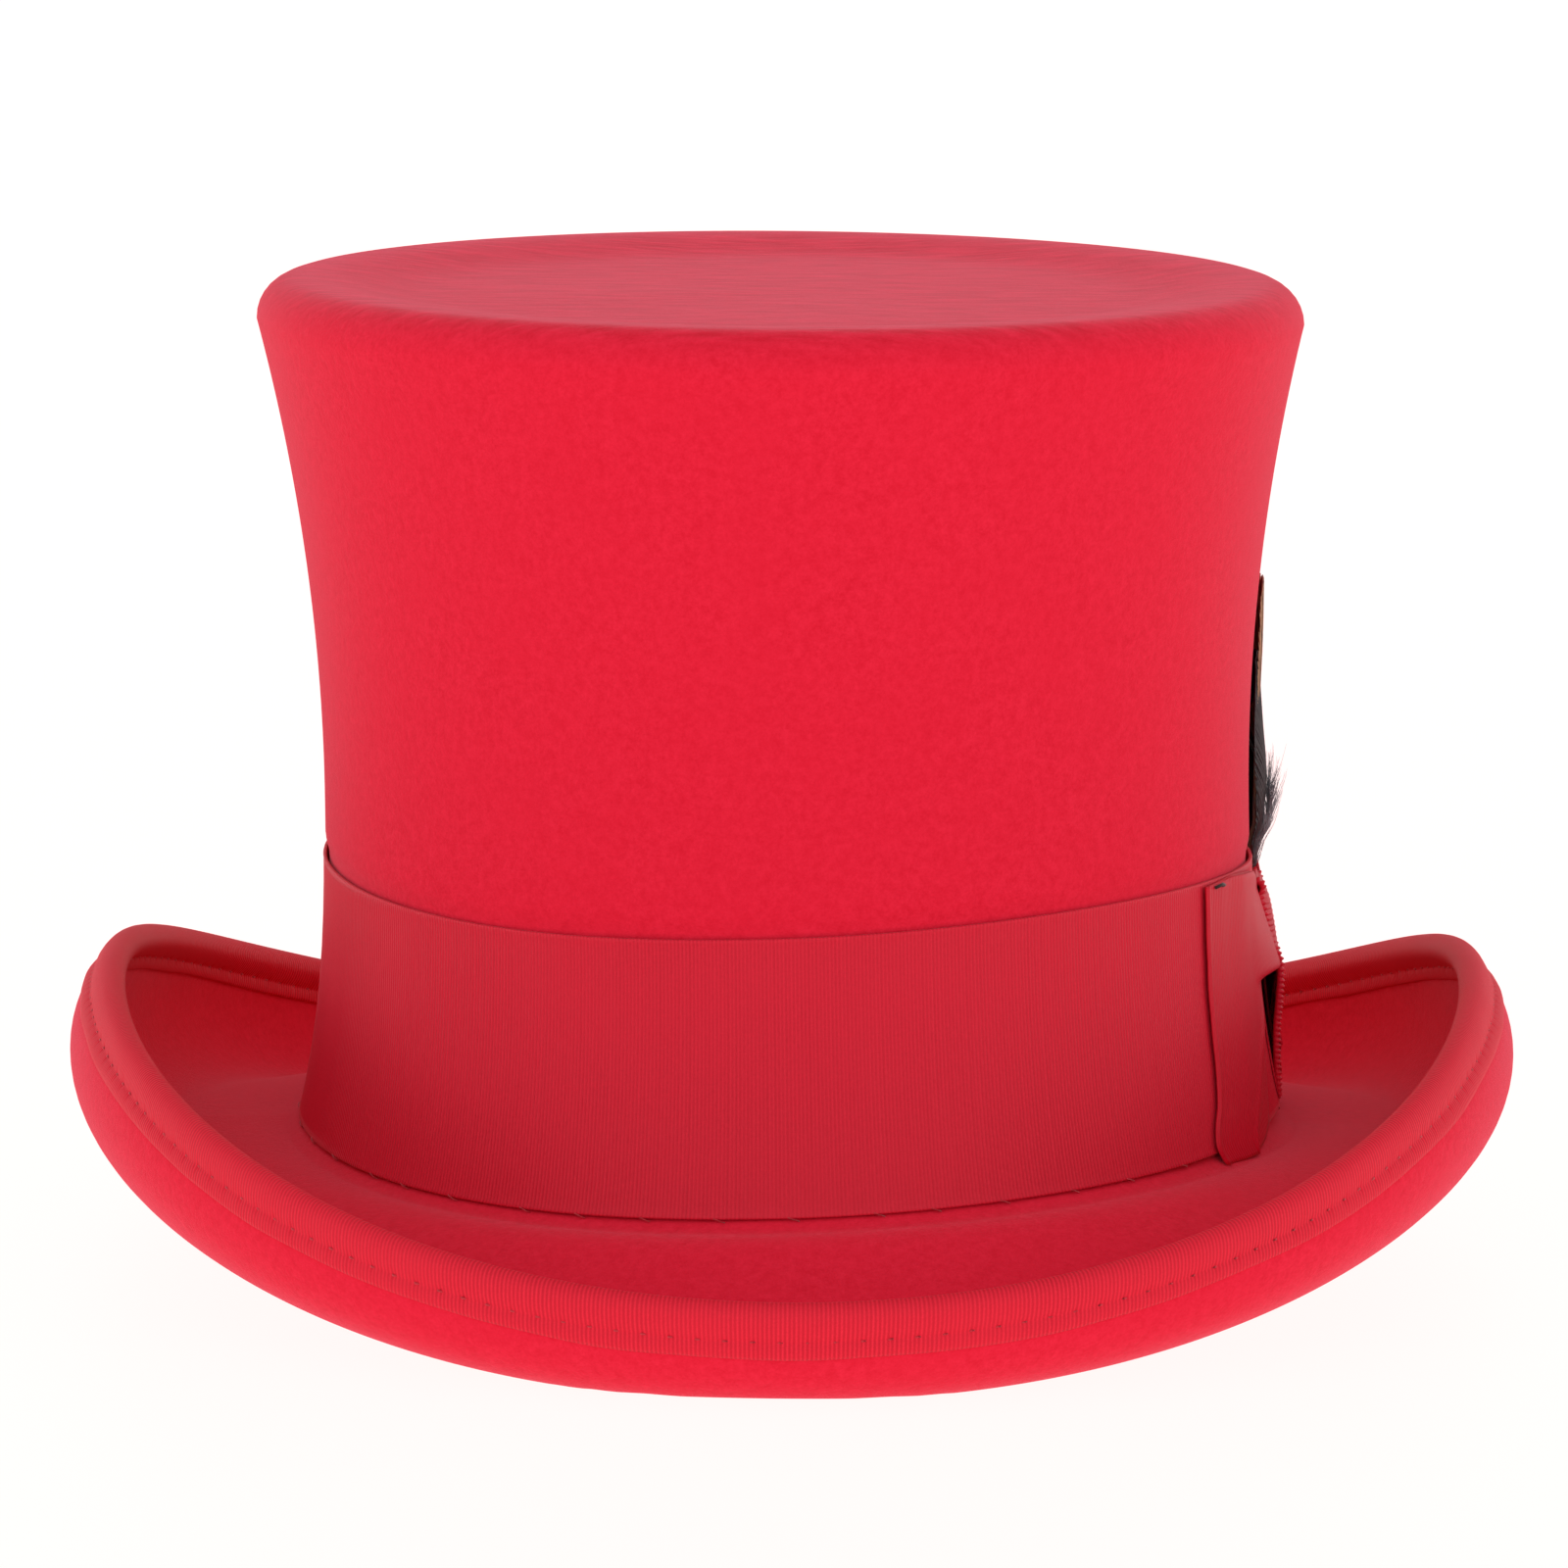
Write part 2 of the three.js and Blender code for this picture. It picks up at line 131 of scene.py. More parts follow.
def wall_out(height):
    above = np.maximum(height - WAIST_HEIGHT, 0) / (CROWN_HEIGHT - TOP_ROUND - WAIST_HEIGHT)
    below = np.maximum(WAIST_HEIGHT - height, 0) / WAIST_HEIGHT
    dent = BAND_DENT * (1 - smoothstep(height, BAND_TOP, BAND_TOP + 4))
    return WAIST_HALF_WIDTH - HEAD_HALF_WIDTH + TOP_FLARE * above**2 + BASE_FLARE * below**BASE_CURVE - dent


def crown_ring(angle, height, oval_out, scale=1.0):
    x, y = oval_point(angle, oval_out)
    fade = np.clip((CROWN_HEIGHT - TOP_ROUND - height) / (CROWN_HEIGHT - TOP_ROUND - BAND_TOP), 0, 1)
    lean = CROWN_LEAN * height / CROWN_HEIGHT
    z = STAND_HEIGHT + height + root_lift(angle) * fade
    return np.stack(np.broadcast_arrays(x * scale - lean, y * scale, z), -1)


def crown_point(angle, height, out):
    """A point beside the crown, `out` millimetres outside its outer face."""
    return crown_ring(angle, height, wall_out(height) + out)


def side_point(rearward, height, out):
    """The same, from a distance along the band rearward of the middle of the left side."""
    return crown_point(rearward / BOW_RADIUS, height, out)


def arc_step(start, end, length):
    turn = end - start
    safe = np.where(np.abs(turn) < 1e-6, 1e-6, turn)
    radius = length / safe
    return radius * (np.sin(start + safe) - np.sin(start)), radius * (np.cos(start) - np.cos(start + safe))


def brim_shape(angle):
    side = np.abs(np.cos(angle)) ** SHAPE_BLEND
    turned = np.abs(np.cos(angle)) ** TURN_BLEND
    width = lerp(BRIM_FRONT["width"], BRIM_SIDE["width"], side)
    curl = lerp(BRIM_FRONT["curl"], BRIM_SIDE["curl"], side)
    dip = np.radians(lerp(BRIM_FRONT["dip"], BRIM_SIDE["dip"], side))
    turn = np.radians(lerp(BRIM_FRONT["turn"], BRIM_SIDE["turn"], turned))
    return width, curl, dip, turn


def brim_point(angle, along, off):
    """A point of the brim at an arc length from its root, `off` above the middle of the felt."""
    width, curl_length, dip, turn = brim_shape(angle)
    root = np.minimum(along, BRIM_ROOT)
    run = np.clip(along - BRIM_ROOT, 0, width - curl_length - BRIM_ROOT)
    curl = np.maximum(along - (width - curl_length), 0)
    root_end = dip * root / BRIM_ROOT
    curl_end = dip + (turn - dip) * curl / curl_length
    slope = np.where(along < BRIM_ROOT, root_end, curl_end)
    root_x, root_z = arc_step(0.0, root_end, root)
    curl_x, curl_z = arc_step(dip, curl_end, curl)
    out = root_x + run * np.cos(dip) + curl_x - off * np.sin(slope)
    rise = root_z + run * np.sin(dip) + curl_z + off * np.cos(slope)
    rise = rise + root_lift(angle) * (1 - along / width)
    x, y = oval_point(angle, out)
    return np.stack(np.broadcast_arrays(x, y, np.maximum(STAND_HEIGHT + rise, 0.0)), -1)


def edge_point(angle, back, off):
    """The same, at a distance back from the brim's edge."""
    return brim_point(angle, brim_shape(angle)[0] - back, off)


# --------------------------------------------------------------------------------------------------
# Meshes over grids of points
# --------------------------------------------------------------------------------------------------

def around(count):
    """Angles round the hat, starting at the back, as a column."""
    return (np.arange(count) / count * TURN + BACK)[:, None]


def grid_faces(rows, columns, wrap_rows, wrap_columns):
    i = np.arange(rows if wrap_rows else rows - 1)[:, None]
    j = np.arange(columns if wrap_columns else columns - 1)[None, :]
    i2 = (i + 1) % rows
    j2 = (j + 1) % columns
    corners = np.broadcast_arrays(i * columns + j, i2 * columns + j, i2 * columns + j2, i * columns + j2)
    return np.stack(corners, -1).reshape(-1, 4)


def build(name, points, faces, attributes=None):
    """A mesh object from points in millimetres. Coincident points are merged and faces turned outward."""
    mesh = bpy.data.meshes.new(name)
    mesh.from_pydata((np.asarray(points).reshape(-1, 3) * MM).tolist(), [], [list(face) for face in faces])
    for key, values in (attributes or {}).items():
        data = mesh.attributes.new(key, "FLOAT", "POINT").data
        data.foreach_set("value", np.broadcast_to(values, np.shape(points)[:-1]).astype(np.float32).ravel())
    bm = bmesh.new()
    bm.from_mesh(mesh)
    bmesh.ops.remove_doubles(bm, verts=bm.verts, dist=1e-7)
    bmesh.ops.recalc_face_normals(bm, faces=bm.faces)
    for face in bm.faces:
        face.smooth = True
    bm.to_mesh(mesh)
    bm.free()
    obj = bpy.data.objects.new(name, mesh)
    bpy.context.scene.collection.objects.link(obj)
    return obj


def ring_object(name, points, attributes=None):
    """A closed ring: rows go round the hat and columns round the section."""
    rows, columns = points.shape[:2]
    return build(name, points, grid_faces(rows, columns, True, True), attributes)


def thick_sheet(name, front, back, wrap_rows=False, attributes=None):
    """A closed sheet from its two faces, each a grid with the ribbon's width along the columns."""
    points = np.concatenate([front, back[:, ::-1]], 1)
    rows, columns = points.shape[:2]
    faces = grid_faces(rows, columns, wrap_rows, True).tolist()
    if not wrap_rows:
        for first in (0, (rows - 1) * columns):
            last = first + columns - 1
            faces += [[first + j, first + j + 1, last - j - 1, last - j] for j in range(columns // 2 - 1)]
    full = {}
    for key, values in (attributes or {}).items():
        values = np.broadcast_to(values, front.shape[:2])
        full[key] = np.concatenate([values, values[:, ::-1]], 1)
    return build(name, points, faces, full)


def strands(name, paths, radii, sides=3, attributes=None):
    """Thin closed tubes along paths of points, in one mesh. attributes holds a list of values per key."""
    points, faces, values = [], [], {key: [] for key in attributes or {}}
    base = 0
    for k, (path, radius) in enumerate(zip(paths, radii)):
        path = np.asarray(path, float)
        tangent = np.gradient(path, axis=0)
        tangent /= np.linalg.norm(tangent, axis=1)[:, None] + 1e-12
        helper = np.where(np.abs(tangent[:, :1]) > 0.9, np.array([[0.0, 1.0, 0.0]]), np.array([[1.0, 0, 0]]))
        side = np.cross(tangent, helper)
        side /= np.linalg.norm(side, axis=1)[:, None]
        up = np.cross(tangent, side)
        radius = np.broadcast_to(radius, len(path))[:, None]
        turns = (np.arange(sides) / sides * TURN)[None, :, None]
        ring = side[:, None] * np.cos(turns) + up[:, None] * np.sin(turns)
        points.append((path[:, None] + radius[:, None] * ring).reshape(-1, 3))
        faces += (grid_faces(len(path), sides, False, True) + base).tolist()
        ends = (base, base + (len(path) - 1) * sides)
        faces += [list(range(end, end + sides)) for end in ends]
        base += len(path) * sides
        for key in values:
            values[key].append(np.repeat(np.broadcast_to(attributes[key][k], len(path)), sides))
    return build(name, np.concatenate(points), faces, {key: np.concatenate(v) for key, v in values.items()})


def wave(seed, values, length, amount):
    """Smooth uneven values along a distance, the same on every run."""
    rng = np.random.default_rng(seed)
    total = np.zeros_like(values, dtype=float)
    for octave in range(1, 4):
        phase = rng.uniform(0, TURN)
        bend = rng.uniform(0.7, 1.3)
        total = total + np.sin(values * TURN * octave * bend / length + phase) / octave
    return total * amount / 1.8


def ring_wave(seed, angle, highest, amount):
    """The same, round a ring, with whole waves only."""
    rng = np.random.default_rng(seed)
    total = np.zeros_like(angle, dtype=float)
    for count in range(2, highest + 1):
        turned = np.sin(count * angle + rng.uniform(0, TURN))
        total = total + turned * rng.uniform(0.3, 1) / math.sqrt(count)
    return total * amount / 1.5


# --------------------------------------------------------------------------------------------------
# Materials
# --------------------------------------------------------------------------------------------------

def srgb(red, green, blue):
    """A colour from its 0 to 255 screen values, as linear red, green, blue and alpha."""
    values = [c / 255 for c in (red, green, blue)]
    return tuple(c / 12.92 if c <= 0.04045 else ((c + 0.055) / 1.055) ** 2.4 for c in values) + (1.0,)


def node(tree, kind, inputs=None, **settings):
    made = tree.nodes.new("ShaderNode" + kind)
    for key, value in settings.items():
        setattr(made, key, value)
    for key, value in (inputs or {}).items():
        if isinstance(value, bpy.types.NodeSocket):
            tree.links.new(value, made.inputs[key])
        else:
            made.inputs[key].default_value = value
    return made


def surface(name, roughness, **fixed):
    """A material with sockets of its shader set. Returns the material, its tree and the shader."""
    made = bpy.data.materials.new(name)
    made.use_nodes = True
    shader = made.node_tree.nodes["Principled BSDF"]
    shader.inputs["Roughness"].default_value = roughness
    for key, value in fixed.items():
        shader.inputs[key.replace("_", " ")].default_value = value
    return made, made.node_tree, shader


def noise(tree, vector, scale, detail=4.0, roughness=0.55):
    inputs = {"Vector": vector, "Scale": scale, "Detail": detail, "Roughness": roughness}
    return node(tree, "TexNoise", inputs).outputs["Fac"]


def mix_colour(tree, factor, first, second):
    made = node(tree, "Mix", {0: factor, 6: first, 7: second}, data_type="RGBA")
    return made.outputs[2]


def mix_value(tree, factor, first, second):
    made = node(tree, "Mix", {0: factor, 2: first, 3: second}, data_type="FLOAT")
    return made.outputs[0]


def maths(tree, operation, first, second=0.5):
    return node(tree, "Math", {0: first, 1: second}, operation=operation).outputs[0]


def weighted(tree, *terms):
    """A sum of (value, weight) terms."""
    total = None
    for value, weight in terms:
        term = maths(tree, "MULTIPLY", value, weight)
        total = term if total is None else maths(tree, "ADD", total, term)
    return total


def remap(tree, value, low, high, to_low=0.0, to_high=1.0):
    inputs = {"Value": value, "From Min": low, "From Max": high, "To Min": to_low, "To Max": to_high}
    return node(tree, "MapRange", inputs).outputs["Result"]


def bump(tree, height, strength, distance):
    inputs = {"Height": height, "Strength": strength, "Distance": distance}
    return node(tree, "Bump", inputs).outputs["Normal"]


def scaled_position(tree, scale=(1, 1, 1)):
    place = node(tree, "TexCoord").outputs["Object"]
    return node(tree, "Mapping", {"Vector": place, "Scale": scale}).outputs["Vector"]


def attribute(tree, name):
    return node(tree, "Attribute", attribute_name=name).outputs["Fac"]


def felt_material():
    """Wool felt: matted fibres, a soft fibre sheen that lights up at the edges, and a streaky top whose
    colour is brushing and painted sheen.
    """
    made, tree, shader = surface(
        "wool_felt", 0.95, Specular_IOR_Level=0.07, Sheen_Weight=0.32, Sheen_Roughness=0.35,
        Sheen_Tint=(1.0, 0.45, 0.56, 1.0),
    )
    place = scaled_position(tree)
    fibres = noise(tree, place, 1900, 4, 0.7)
    flecks = noise(tree, place, 620, 4, 0.65)
    clouds = noise(tree, place, 60, 4, 0.6)
    streaks = noise(tree, scaled_position(tree, (0.16, 1.0, 1.0)), 560, 3, 0.6)
    brushing_and_painted_sheen = attribute(tree, "brushing_and_painted_sheen")
    grain = weighted(tree, (fibres, 0.45), (flecks, 0.55))
    colour = mix_colour(tree, remap(tree, grain, 0.38, 0.62), srgb(209, 25, 48), srgb(225, 37, 62))
    colour = mix_colour(tree, remap(tree, clouds, 0.3, 0.7, 0.0, 0.5), colour, srgb(218, 30, 54))
    # The top's streaky colour is partly brushing and partly painted sheen: its light pink end stands in for
    # the sheen that lights the top.
    brushed_streaks_and_painted_sheen = mix_colour(tree, remap(tree, streaks, 0.35, 0.65), srgb(204, 12, 36), srgb(255, 48, 78))
    factor = maths(tree, "MULTIPLY", brushing_and_painted_sheen, 0.4)
    tree.links.new(mix_colour(tree, factor, colour, brushed_streaks_and_painted_sheen), shader.inputs["Base Color"])
    brushing = maths(tree, "MULTIPLY", streaks, brushing_and_painted_sheen)
    height = weighted(tree, (fibres, 0.6), (flecks, 0.4), (brushing, 0.6))
    tree.links.new(bump(tree, height, 0.55, 0.00035), shader.inputs["Normal"])
    return made


def grosgrain_material(name, dark, light, roughness, sheen, painted_groove_shade):
    """Ribbed ribbon. The attribute `rib` counts ribs along it, and the last argument is how much shade is
    painted into its grooves.
    """
    made, tree, shader = surface(
        name, roughness, Specular_IOR_Level=0.2, Sheen_Weight=sheen, Sheen_Roughness=0.3,
        Sheen_Tint=(1.0, 0.7, 0.76, 1.0),
    )
    rib = attribute(tree, "rib")
    profile = maths(tree, "COSINE", maths(tree, "MULTIPLY", rib, TURN))
    place = scaled_position(tree)
    threads = noise(tree, place, 2600, 3, 0.6)
    shade = noise(tree, place, 30, 3, 0.5)
    uneven = noise(tree, node(tree, "CombineXYZ", {"X": rib}).outputs["Vector"], 0.9, 2, 0.5)
    # The rib profile colours the grooves darker: painted shade between the ribs, mixed with thread and rib
    # tone.
    blend = weighted(tree, (profile, painted_groove_shade), (threads, 0.45), (uneven, 0.3))
    colour = mix_colour(tree, remap(tree, blend, 0.2, 0.75), dark, light)
    middle = tuple((a + b) / 2 for a, b in zip(dark, light))
    colour = mix_colour(tree, remap(tree, shade, 0.35, 0.75, 0.0, 0.5), colour, middle)
    tree.links.new(colour, shader.inputs["Base Color"])
    height = weighted(tree, (profile, 0.5), (threads, 0.35))
    tree.links.new(bump(tree, height, 0.5, 0.00012), shader.inputs["Normal"])
    return made


def thread_material(name, colour):
    """Twisted sewing thread."""
    made, tree, shader = surface(name, 0.55, Specular_IOR_Level=0.3, Sheen_Weight=0.2)
    twist = noise(tree, scaled_position(tree), 4000, 2, 0.5)
    darker = tuple(c * 0.72 for c in colour[:3]) + (1.0,)
    tree.links.new(mix_colour(tree, twist, darker, colour), shader.inputs["Base Color"])
    tree.links.new(bump(tree, twist, 0.4, 0.0001), shader.inputs["Normal"])
    return made


def leather_material():
    """Smooth sweatband leather with fine pores and faint creases."""
    made, tree, shader = surface("sweatband_leather", 0.45, Specular_IOR_Level=0.4, Coat_Weight=0.08)
    place = scaled_position(tree)
    cells = node(tree, "TexVoronoi", {"Vector": place, "Scale": 900.0}, feature="DISTANCE_TO_EDGE")
    pores = cells.outputs["Distance"]
    creases = noise(tree, scaled_position(tree, (1, 1, 0.3)), 160, 5, 0.6)
    tone = noise(tree, place, 22, 3, 0.5)
    colour = mix_colour(tree, remap(tree, tone, 0.3, 0.7), srgb(46, 27, 20), srgb(74, 45, 33))
    tree.links.new(colour, shader.inputs["Base Color"])
    height = weighted(tree, (pores, 0.5), (creases, 0.5))
    tree.links.new(bump(tree, height, 0.35, 0.0002), shader.inputs["Normal"])
    tree.links.new(remap(tree, creases, 0.3, 0.7, 0.38, 0.55), shader.inputs["Roughness"])
    return made


def satin_material():
    """Deep red satin: fine threads one way, so the shine is drawn out."""
    made, tree, shader = surface(
        "lining_satin", 0.3, Specular_IOR_Level=0.55, Anisotropic=0.6, Sheen_Weight=0.25,
        Sheen_Roughness=0.25,
    )
    threads = noise(tree, scaled_position(tree, (1, 1, 0.04)), 2600, 2, 0.5)
    tone = noise(tree, scaled_position(tree), 18, 3, 0.5)
    colour = mix_colour(tree, remap(tree, tone, 0.3, 0.7), srgb(92, 12, 22), srgb(124, 20, 32))
    tree.links.new(mix_colour(tree, 0.25, colour, srgb(150, 30, 44)), shader.inputs["Base Color"])
    tree.links.new(bump(tree, threads, 0.15, 0.00008), shader.inputs["Normal"])
    return made


def feather_material(name, base, tip, bars, roughness, coat):
    """Barbs: `along` runs from quill to tip and `across` from the shaft out."""
    made, tree, shader = surface(
        name, roughness, Specular_IOR_Level=0.5, Sheen_Weight=0.15, Coat_Weight=coat, Coat_Roughness=0.25,
    )
    along = attribute(tree, "along")
    across = attribute(tree, "across")
    place = scaled_position(tree)
    uneven = noise(tree, place, 260, 3, 0.6)
    colour = mix_colour(tree, remap(tree, uneven, 0.3, 0.7), base, tip)
    if bars:
        phase = weighted(tree, (along, 34.0), (across, -4.5), (uneven, 3.0))
        stripe = remap(tree, maths(tree, "SINE", phase), 0.1, 0.7)
        colour = mix_colour(tree, stripe, colour, srgb(84, 56, 40))
        colour = mix_colour(tree, remap(tree, across, 0.8, 1.0), colour, srgb(196, 160, 124))
    tree.links.new(colour, shader.inputs["Base Color"])
    tree.links.new(bump(tree, noise(tree, place, 3000, 2, 0.5), 0.2, 0.0001), shader.inputs["Normal"])
    return made


def quill_material():
    made, tree, shader = surface("quill", 0.35, Specular_IOR_Level=0.5, Subsurface_Weight=0.1)
    tone = noise(tree, scaled_position(tree, (1, 1, 0.2)), 500, 3, 0.5)
    colour = mix_colour(tree, tone, srgb(120, 92, 66), srgb(214, 190, 156))
    tree.links.new(colour, shader.inputs["Base Color"])
    return made


def metal_material():
    made, tree, shader = surface("hat_wire", 0.35, Metallic=1.0)
    tone = noise(tree, scaled_position(tree), 700, 3, 0.5)
    colour = mix_colour(tree, tone, srgb(110, 110, 112), srgb(160, 160, 164))
    tree.links.new(colour, shader.inputs["Base Color"])
    tree.links.new(bump(tree, tone, 0.2, 0.0001), shader.inputs["Normal"])
    return made


def piping_material():
    made, tree, shader = surface("reed_piping", 0.4, Specular_IOR_Level=0.4)
    tone = noise(tree, scaled_position(tree), 400, 3, 0.5)
    tree.links.new(mix_colour(tree, tone, srgb(24, 18, 15), srgb(44, 34, 28)), shader.inputs["Base Color"])
    tree.links.new(bump(tree, tone, 0.25, 0.0002), shader.inputs["Normal"])
    return made


# --------------------------------------------------------------------------------------------------
# Camera, light and table
# --------------------------------------------------------------------------------------------------

CAMERA_DISTANCE = 1832.0        # on the table, from the hat's middle
CAMERA_HEIGHT = 308.6           # above the line where crown and brim meet
CAMERA_SIDE = 0.21              # degrees round the hat, towards the wearer's left
CAMERA_DOWN = 7.61              # degrees down
CAMERA_PAN = -0.04              # degrees
HAT_ROLL = 0.41                 # degrees that the hat sits lower on the wearer's left
LENS_PER_SENSOR = 6.5526        # focal length over sensor width


def camera():
    side = math.radians(CAMERA_SIDE)
    down = math.radians(CAMERA_DOWN)
    pan = math.radians(CAMERA_PAN)
    forward = Vector((-math.sin(side) * math.cos(down), math.cos(side) * math.cos(down), -math.sin(down)))
    right = Vector((math.cos(side), math.sin(side), 0.0))
    up = right.cross(forward)
    turned = right * math.cos(pan) - forward * math.sin(pan)
    forward = forward * math.cos(pan) + right * math.sin(pan)
    place = Vector((CAMERA_DISTANCE * math.sin(side), -CAMERA_DISTANCE * math.cos(side), CAMERA_HEIGHT))
    level = Matrix.Rotation(math.radians(-HAT_ROLL), 3, "Y")
    place = level @ place + Vector((0.0, 0.0, STAND_HEIGHT))
    axes = Matrix([level @ turned, level @ up, level @ -forward]).transposed()
    data = bpy.data.cameras.new("camera")
    data.sensor_width = 36.0
    data.lens = data.sensor_width * LENS_PER_SENSOR
    data.clip_end = 20.0
    made = bpy.data.objects.new("camera", data)
    made.matrix_world = Matrix.Translation(place * MM) @ axes.to_4x4()
    bpy.context.scene.collection.objects.link(made)
    bpy.context.scene.camera = made


def area_light(name, place, target, size, power):
    data = bpy.data.lights.new(name, "AREA")
    data.shape = "RECTANGLE"
    data.size, data.size_y = size
    data.energy = power
    made = bpy.data.objects.new(name, data)
    made.location = place
    made.rotation_euler = (Vector(target) - Vector(place)).to_track_quat("-Z", "Y").to_euler()
    bpy.context.scene.collection.objects.link(made)


def studio():
    """A white light table in a bright room: strong even light from below, softer from above and in front."""
    world = bpy.data.worlds.new("studio")
    bpy.context.scene.world = world
    world.use_nodes = True
    tree = world.node_tree
    direction = node(tree, "SeparateXYZ", {"Vector": node(tree, "TexCoord").outputs["Generated"]}).outputs
    background = tree.nodes["Background"]
    background.inputs["Color"].default_value = (1.0, 1.0, 1.0, 1.0)
    sideways = remap(tree, maths(tree, "ABSOLUTE", direction["X"]), 0.4, 1.0, 0.82, 2.1)
    low_down = remap(tree, direction["Z"], 0.05, 0.6, 1.0, 0.0)
    strength = mix_value(tree, low_down, 0.64, sideways)
    tree.links.new(strength, background.inputs["Strength"])
    bpy.context.scene.view_settings.view_transform = "Standard"
    area_light("front_softbox", (0.05, -1.7, 0.75), (0, 0, 0.08), (1.5, 1.0), 5)
    bpy.ops.mesh.primitive_plane_add(size=16.0, location=(0, 0, -0.0002))
    table = bpy.context.object
    table.name = "light_table"
    made, _, shader = surface("white_acrylic", 0.6, Specular_IOR_Level=0.1)
    shader.inputs["Base Color"].default_value = (0.05, 0.05, 0.05, 1.0)
    shader.inputs["Emission Color"].default_value = (1.0, 0.79, 0.775, 1.0)
    shader.inputs["Emission Strength"].default_value = 1.18
    table.data.materials.append(made)


# --------------------------------------------------------------------------------------------------
# Pieces of the hat
# --------------------------------------------------------------------------------------------------

def place_piece(obj, material, body, slot, *replaced):
    obj.data.materials.append(material)
    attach(obj, body)
    if replaced:
        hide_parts(*replaced)


TIP_OUT = float(wall_out(CROWN_HEIGHT - TOP_ROUND)) - TOP_ROUND
TIP_FLAT = 0.72                 # share of the tip's radius that the dish takes up


def tip_height(scale):
    """Height of the tip's face at a share of its radius."""
    return CROWN_HEIGHT - TIP_DISH * (1 - smoothstep(scale, TIP_FLAT, 0.97))


def felt_body(felt):
    """Crown and brim, one closed felt shell, slightly uneven as hand-blocked felt is."""
    angle = around(400)
    width, curl_length = brim_shape(angle)[:2]
    half = FELT / 2
    # The second value of each row marks where the top's brushing streaks and painted sheen go: 1 on the tip,
    # fading over the shoulder, 0 elsewhere.
    parts, brushing_and_painted_sheen_masks = [], []

    def add(points, brushing_and_painted_sheen):
        parts.append(points)
        brushing_and_painted_sheen_masks.append(np.broadcast_to(brushing_and_painted_sheen, points.shape[:2]))

    rim = [0.66, 0.72, 0.77, 0.82, 0.87, 0.91, 0.95, 0.98]
    scale = np.concatenate([np.linspace(0, 0.6, 7), rim])[None, :]
    uneven = ring_wave(3, angle, 5, 0.25) * scale * (1 - scale) * 4
    top = crown_ring(angle, tip_height(scale), TIP_OUT, scale)
    top[..., 2] += uneven
    add(top, 1.0)
    turn = np.radians(np.linspace(90, 0, 9))[None, :]
    shoulder = CROWN_HEIGHT - TOP_ROUND * (1 - np.sin(turn))
    add(crown_ring(angle, shoulder, TIP_OUT + TOP_ROUND * np.cos(turn)), np.sin(turn) ** 2)
    height = np.linspace(CROWN_HEIGHT - TOP_ROUND - 2, BAND_TOP + 6, 34)[None, :]
    share = (height - BAND_TOP) / (CROWN_HEIGHT - BAND_TOP)
    swell = ring_wave(5, angle, 6, 0.22) * np.sin(share * math.pi)
    add(crown_point(angle, height, swell), 0.0)
    add(crown_point(angle, np.linspace(BAND_TOP + 5, BAND_TOP - 3, 9)[None, :], 0.0), 0.0)
    add(crown_point(angle, np.linspace(BAND_TOP - 8, BAND_BOTTOM - 0.2, 8)[None, :], 0.0), 0.0)
    along = 0.5 + np.linspace(0, 1, 24)[None, :] * (width - curl_length - 0.5)
    ripple = ring_wave(8, angle, 7, 0.3)
    add(brim_point(angle, along, half + ripple * np.clip(along / 20, 0, 1)), 0.0)
    step = np.linspace(0, 1, 26)[None, 1:]
    along_curl = width - curl_length + step * (curl_length - FELT_EDGE)
    settle = 1 - smoothstep(along_curl, width - 16, width - 10)
    add(brim_point(angle, along_curl, half + ripple * settle), 0.0)
    add(brim_point(angle, along_curl[:, ::-1], -half), 0.0)
    add(brim_point(angle, along[:, ::-1], -half), 0.0)
    add(crown_point(angle, np.linspace(4, CROWN_HEIGHT - TOP_ROUND, 20)[None, :], -FELT), 0.0)
    inner = np.array([[1.0, 0.85, 0.6, 0.3, 0.0]])
    add(crown_ring(angle, tip_height(inner) - FELT, TIP_OUT, inner), 0.0)
    points = np.concatenate(parts, 1)
    rows, columns = points.shape[:2]
    faces = grid_faces(rows, columns, True, False)
    obj = build("felt_hat", points, faces, {"brushing_and_painted_sheen": np.concatenate(brushing_and_painted_sheen_masks, 1)})
    place_piece(obj, felt, "hat", "felt", "felt_body")


